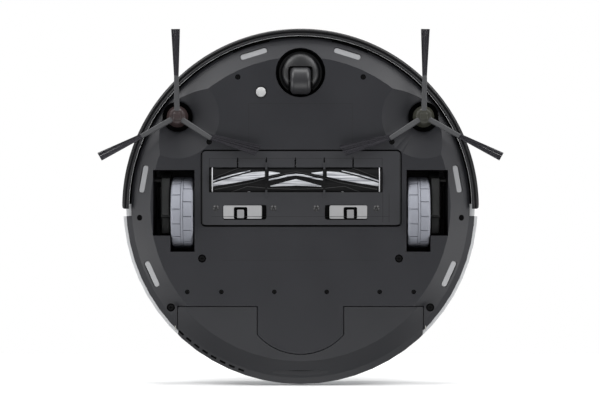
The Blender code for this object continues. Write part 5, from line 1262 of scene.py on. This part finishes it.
# The vents in the tank's rear rim are black strips of painted shade.
VENTS = 8
VENT_RADII = (0.1708, 0.1726)
VENT_HEIGHTS = (0.0208, 0.0222)
VENT_PITCH = math.radians(3.35)
vent = flat_ring(*VENT_RADII, *VENT_HEIGHTS, (0, 0), -71.0, -69.0, 5)
vents = copies_round("rear_vent_shade", vent, SHADE_BLACK, VENTS, (0, 0, 1), (0, 0, 0), step=VENT_PITCH)
add_piece("rear_vent_shade", vents, tank_body, "dark_plastic")


# ---------------------------------------------------------------- inside
# Battery, circuit board, suction fan and its motor, side brush and roller drives, and the bumper's two
# switches. They sit between the tray and the top cover, and only show when the lid or a cover is off.

BATTERY_WRAP = moulded_plastic("battery_wrap", (0.03, 0.09, 0.24), 0.4, grain=0.1, coat=0.2)
BOARD_GREEN = moulded_plastic("board_green", (0.012, 0.09, 0.035), 0.4, 0.3, mottling=0.25, grain_size=0.001)
FAN_GREY = moulded_plastic("fan_grey", (0.14, 0.145, 0.15), 0.5)
BELT_RUBBER = moulded_plastic("belt_rubber", (0.008, 0.008, 0.008), 0.7)
dress_node(BATTERY_WRAP, "battery_pack")
dress_node(BOARD_GREEN, "main_board")
dress_node(RAW_BLACK, "fan_housing", "lidar_base", "lidar_pulley")
dress_node(RAW_BLACK, "bumper_switch_left", "bumper_switch_right")
dress_node(FAN_GREY, "fan_impeller")
dress_node(MOTOR_METAL, "fan_motor", "lidar_motor")
dress_node(BELT_RUBBER, "lidar_belt")


# ---------------------------------------------------------------- dust bin
# A smoked clear bin that drops in under the lid, with a pleated filter in its rear wall and a pale handle
# that folds flat. The bin is tinted polycarbonate, so it is glossy and lets a little light through.

SMOKED = moulded_plastic("smoked_bin", (0.030, 0.031, 0.034), 0.12, grain=0.02, coat=0.4)
SMOKED.node_tree.nodes["Principled BSDF"].inputs["Transmission Weight"].default_value = 0.55
dressed_copy("dust_bin", "smoked_bin", SMOKED, bevel=0.0004)
HANDLE_GREY = moulded_plastic("handle_grey", (0.42, 0.42, 0.43), 0.4)
dressed_copy("bin_handle", "folding_handle", HANDLE_GREY, bevel=0.0003)
FILTER_PAPER = moulded_plastic("filter_paper", (0.62, 0.62, 0.58), 0.85, grain=0.8, grain_size=0.0005)
dress_node(FILTER_PAPER, "bin_filter")


# ---------------------------------------------------------------- top cover, lid and buttons
# The gloss white upper shell, the lid that hinges up at its rear over the bin, and two white press
# buttons in front. All are ABS with a clear gloss finish.

GLOSS_WHITE = moulded_plastic("gloss_white", (0.72, 0.73, 0.74), 0.20, grain=0.02, mottling=0.015, coat=0.5)
dressed_copy("top_cover", "upper_shell", GLOSS_WHITE, bevel=0.0003)
dressed_copy("top_lid", "service_lid", GLOSS_WHITE, bevel=0.0006)
dress_node(STEEL, "lid_hinge_pin")
BUTTON_MARK = moulded_plastic("button_mark", (0.10, 0.10, 0.11), 0.4, grain=0.05)
MARK_HALF = 0.00025
for node, title in (("start_button", "press_start"), ("home_button", "press_home")):
    low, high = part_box(node)
    centre = middle_of(node)
    radius = (high.x - low.x) / 2
    profile = [(0.0, high.z - 0.0004), (radius * 0.5, high.z - 0.0003), (radius - 0.0012, high.z)]
    profile += [(radius - 0.0004, high.z - 0.0003), (radius, high.z - 0.0009), (radius, low.z), (0.0, low.z)]
    button = lathe(profile, centre, steps=64)
    add_shape(title, button, GLOSS_WHITE, body_of(node), "white_shell", node, sharp=40)
    foot, face = high.z - 0.0004, high.z - 0.0002
    if node == "start_button":
        ring = flat_ring(0.0021, 0.0026, foot + 0.00004, face - 0.00002, (0, 0), 120.0, 420.0, 40)
        strokes = [ring, bar((-MARK_HALF, 0.0012, foot), (MARK_HALF, 0.0032, face))]
    else:
        strokes = [bar((-0.0019, -MARK_HALF, foot), (0.0003, MARK_HALF, face)) for _ in range(2)]
        for stroke, degrees in zip(strokes, (135, 45)):
            turn = Matrix.Translation((0.0, 0.0018, 0.0)) @ Matrix.Rotation(math.radians(degrees), 4, "Z")
            bmesh.ops.transform(stroke, matrix=turn, verts=stroke.verts)
        strokes.append(bar((-0.0013, -0.0016, foot), (0.0013, -0.0011, face)))
    for stroke in strokes:
        bmesh.ops.translate(stroke, vec=(centre.x, centre.y, 0.0), verts=stroke.verts)
    add_shape(f"{title}_mark", gather(*strokes), BUTTON_MARK, body_of(node), "dark_plastic")


# ---------------------------------------------------------------- laser turret
# A round white cap on posts over the spinning laser head, which looks out through the gap all round.

dressed_copy("turret_cap", "turret_roof", GLOSS_WHITE, bevel=0.0004)
HEAD_BLACK = moulded_plastic("laser_head_black", (0.010, 0.010, 0.011), 0.35)
dressed_copy("lidar_spinner", "laser_head", HEAD_BLACK, bevel=0.0003)
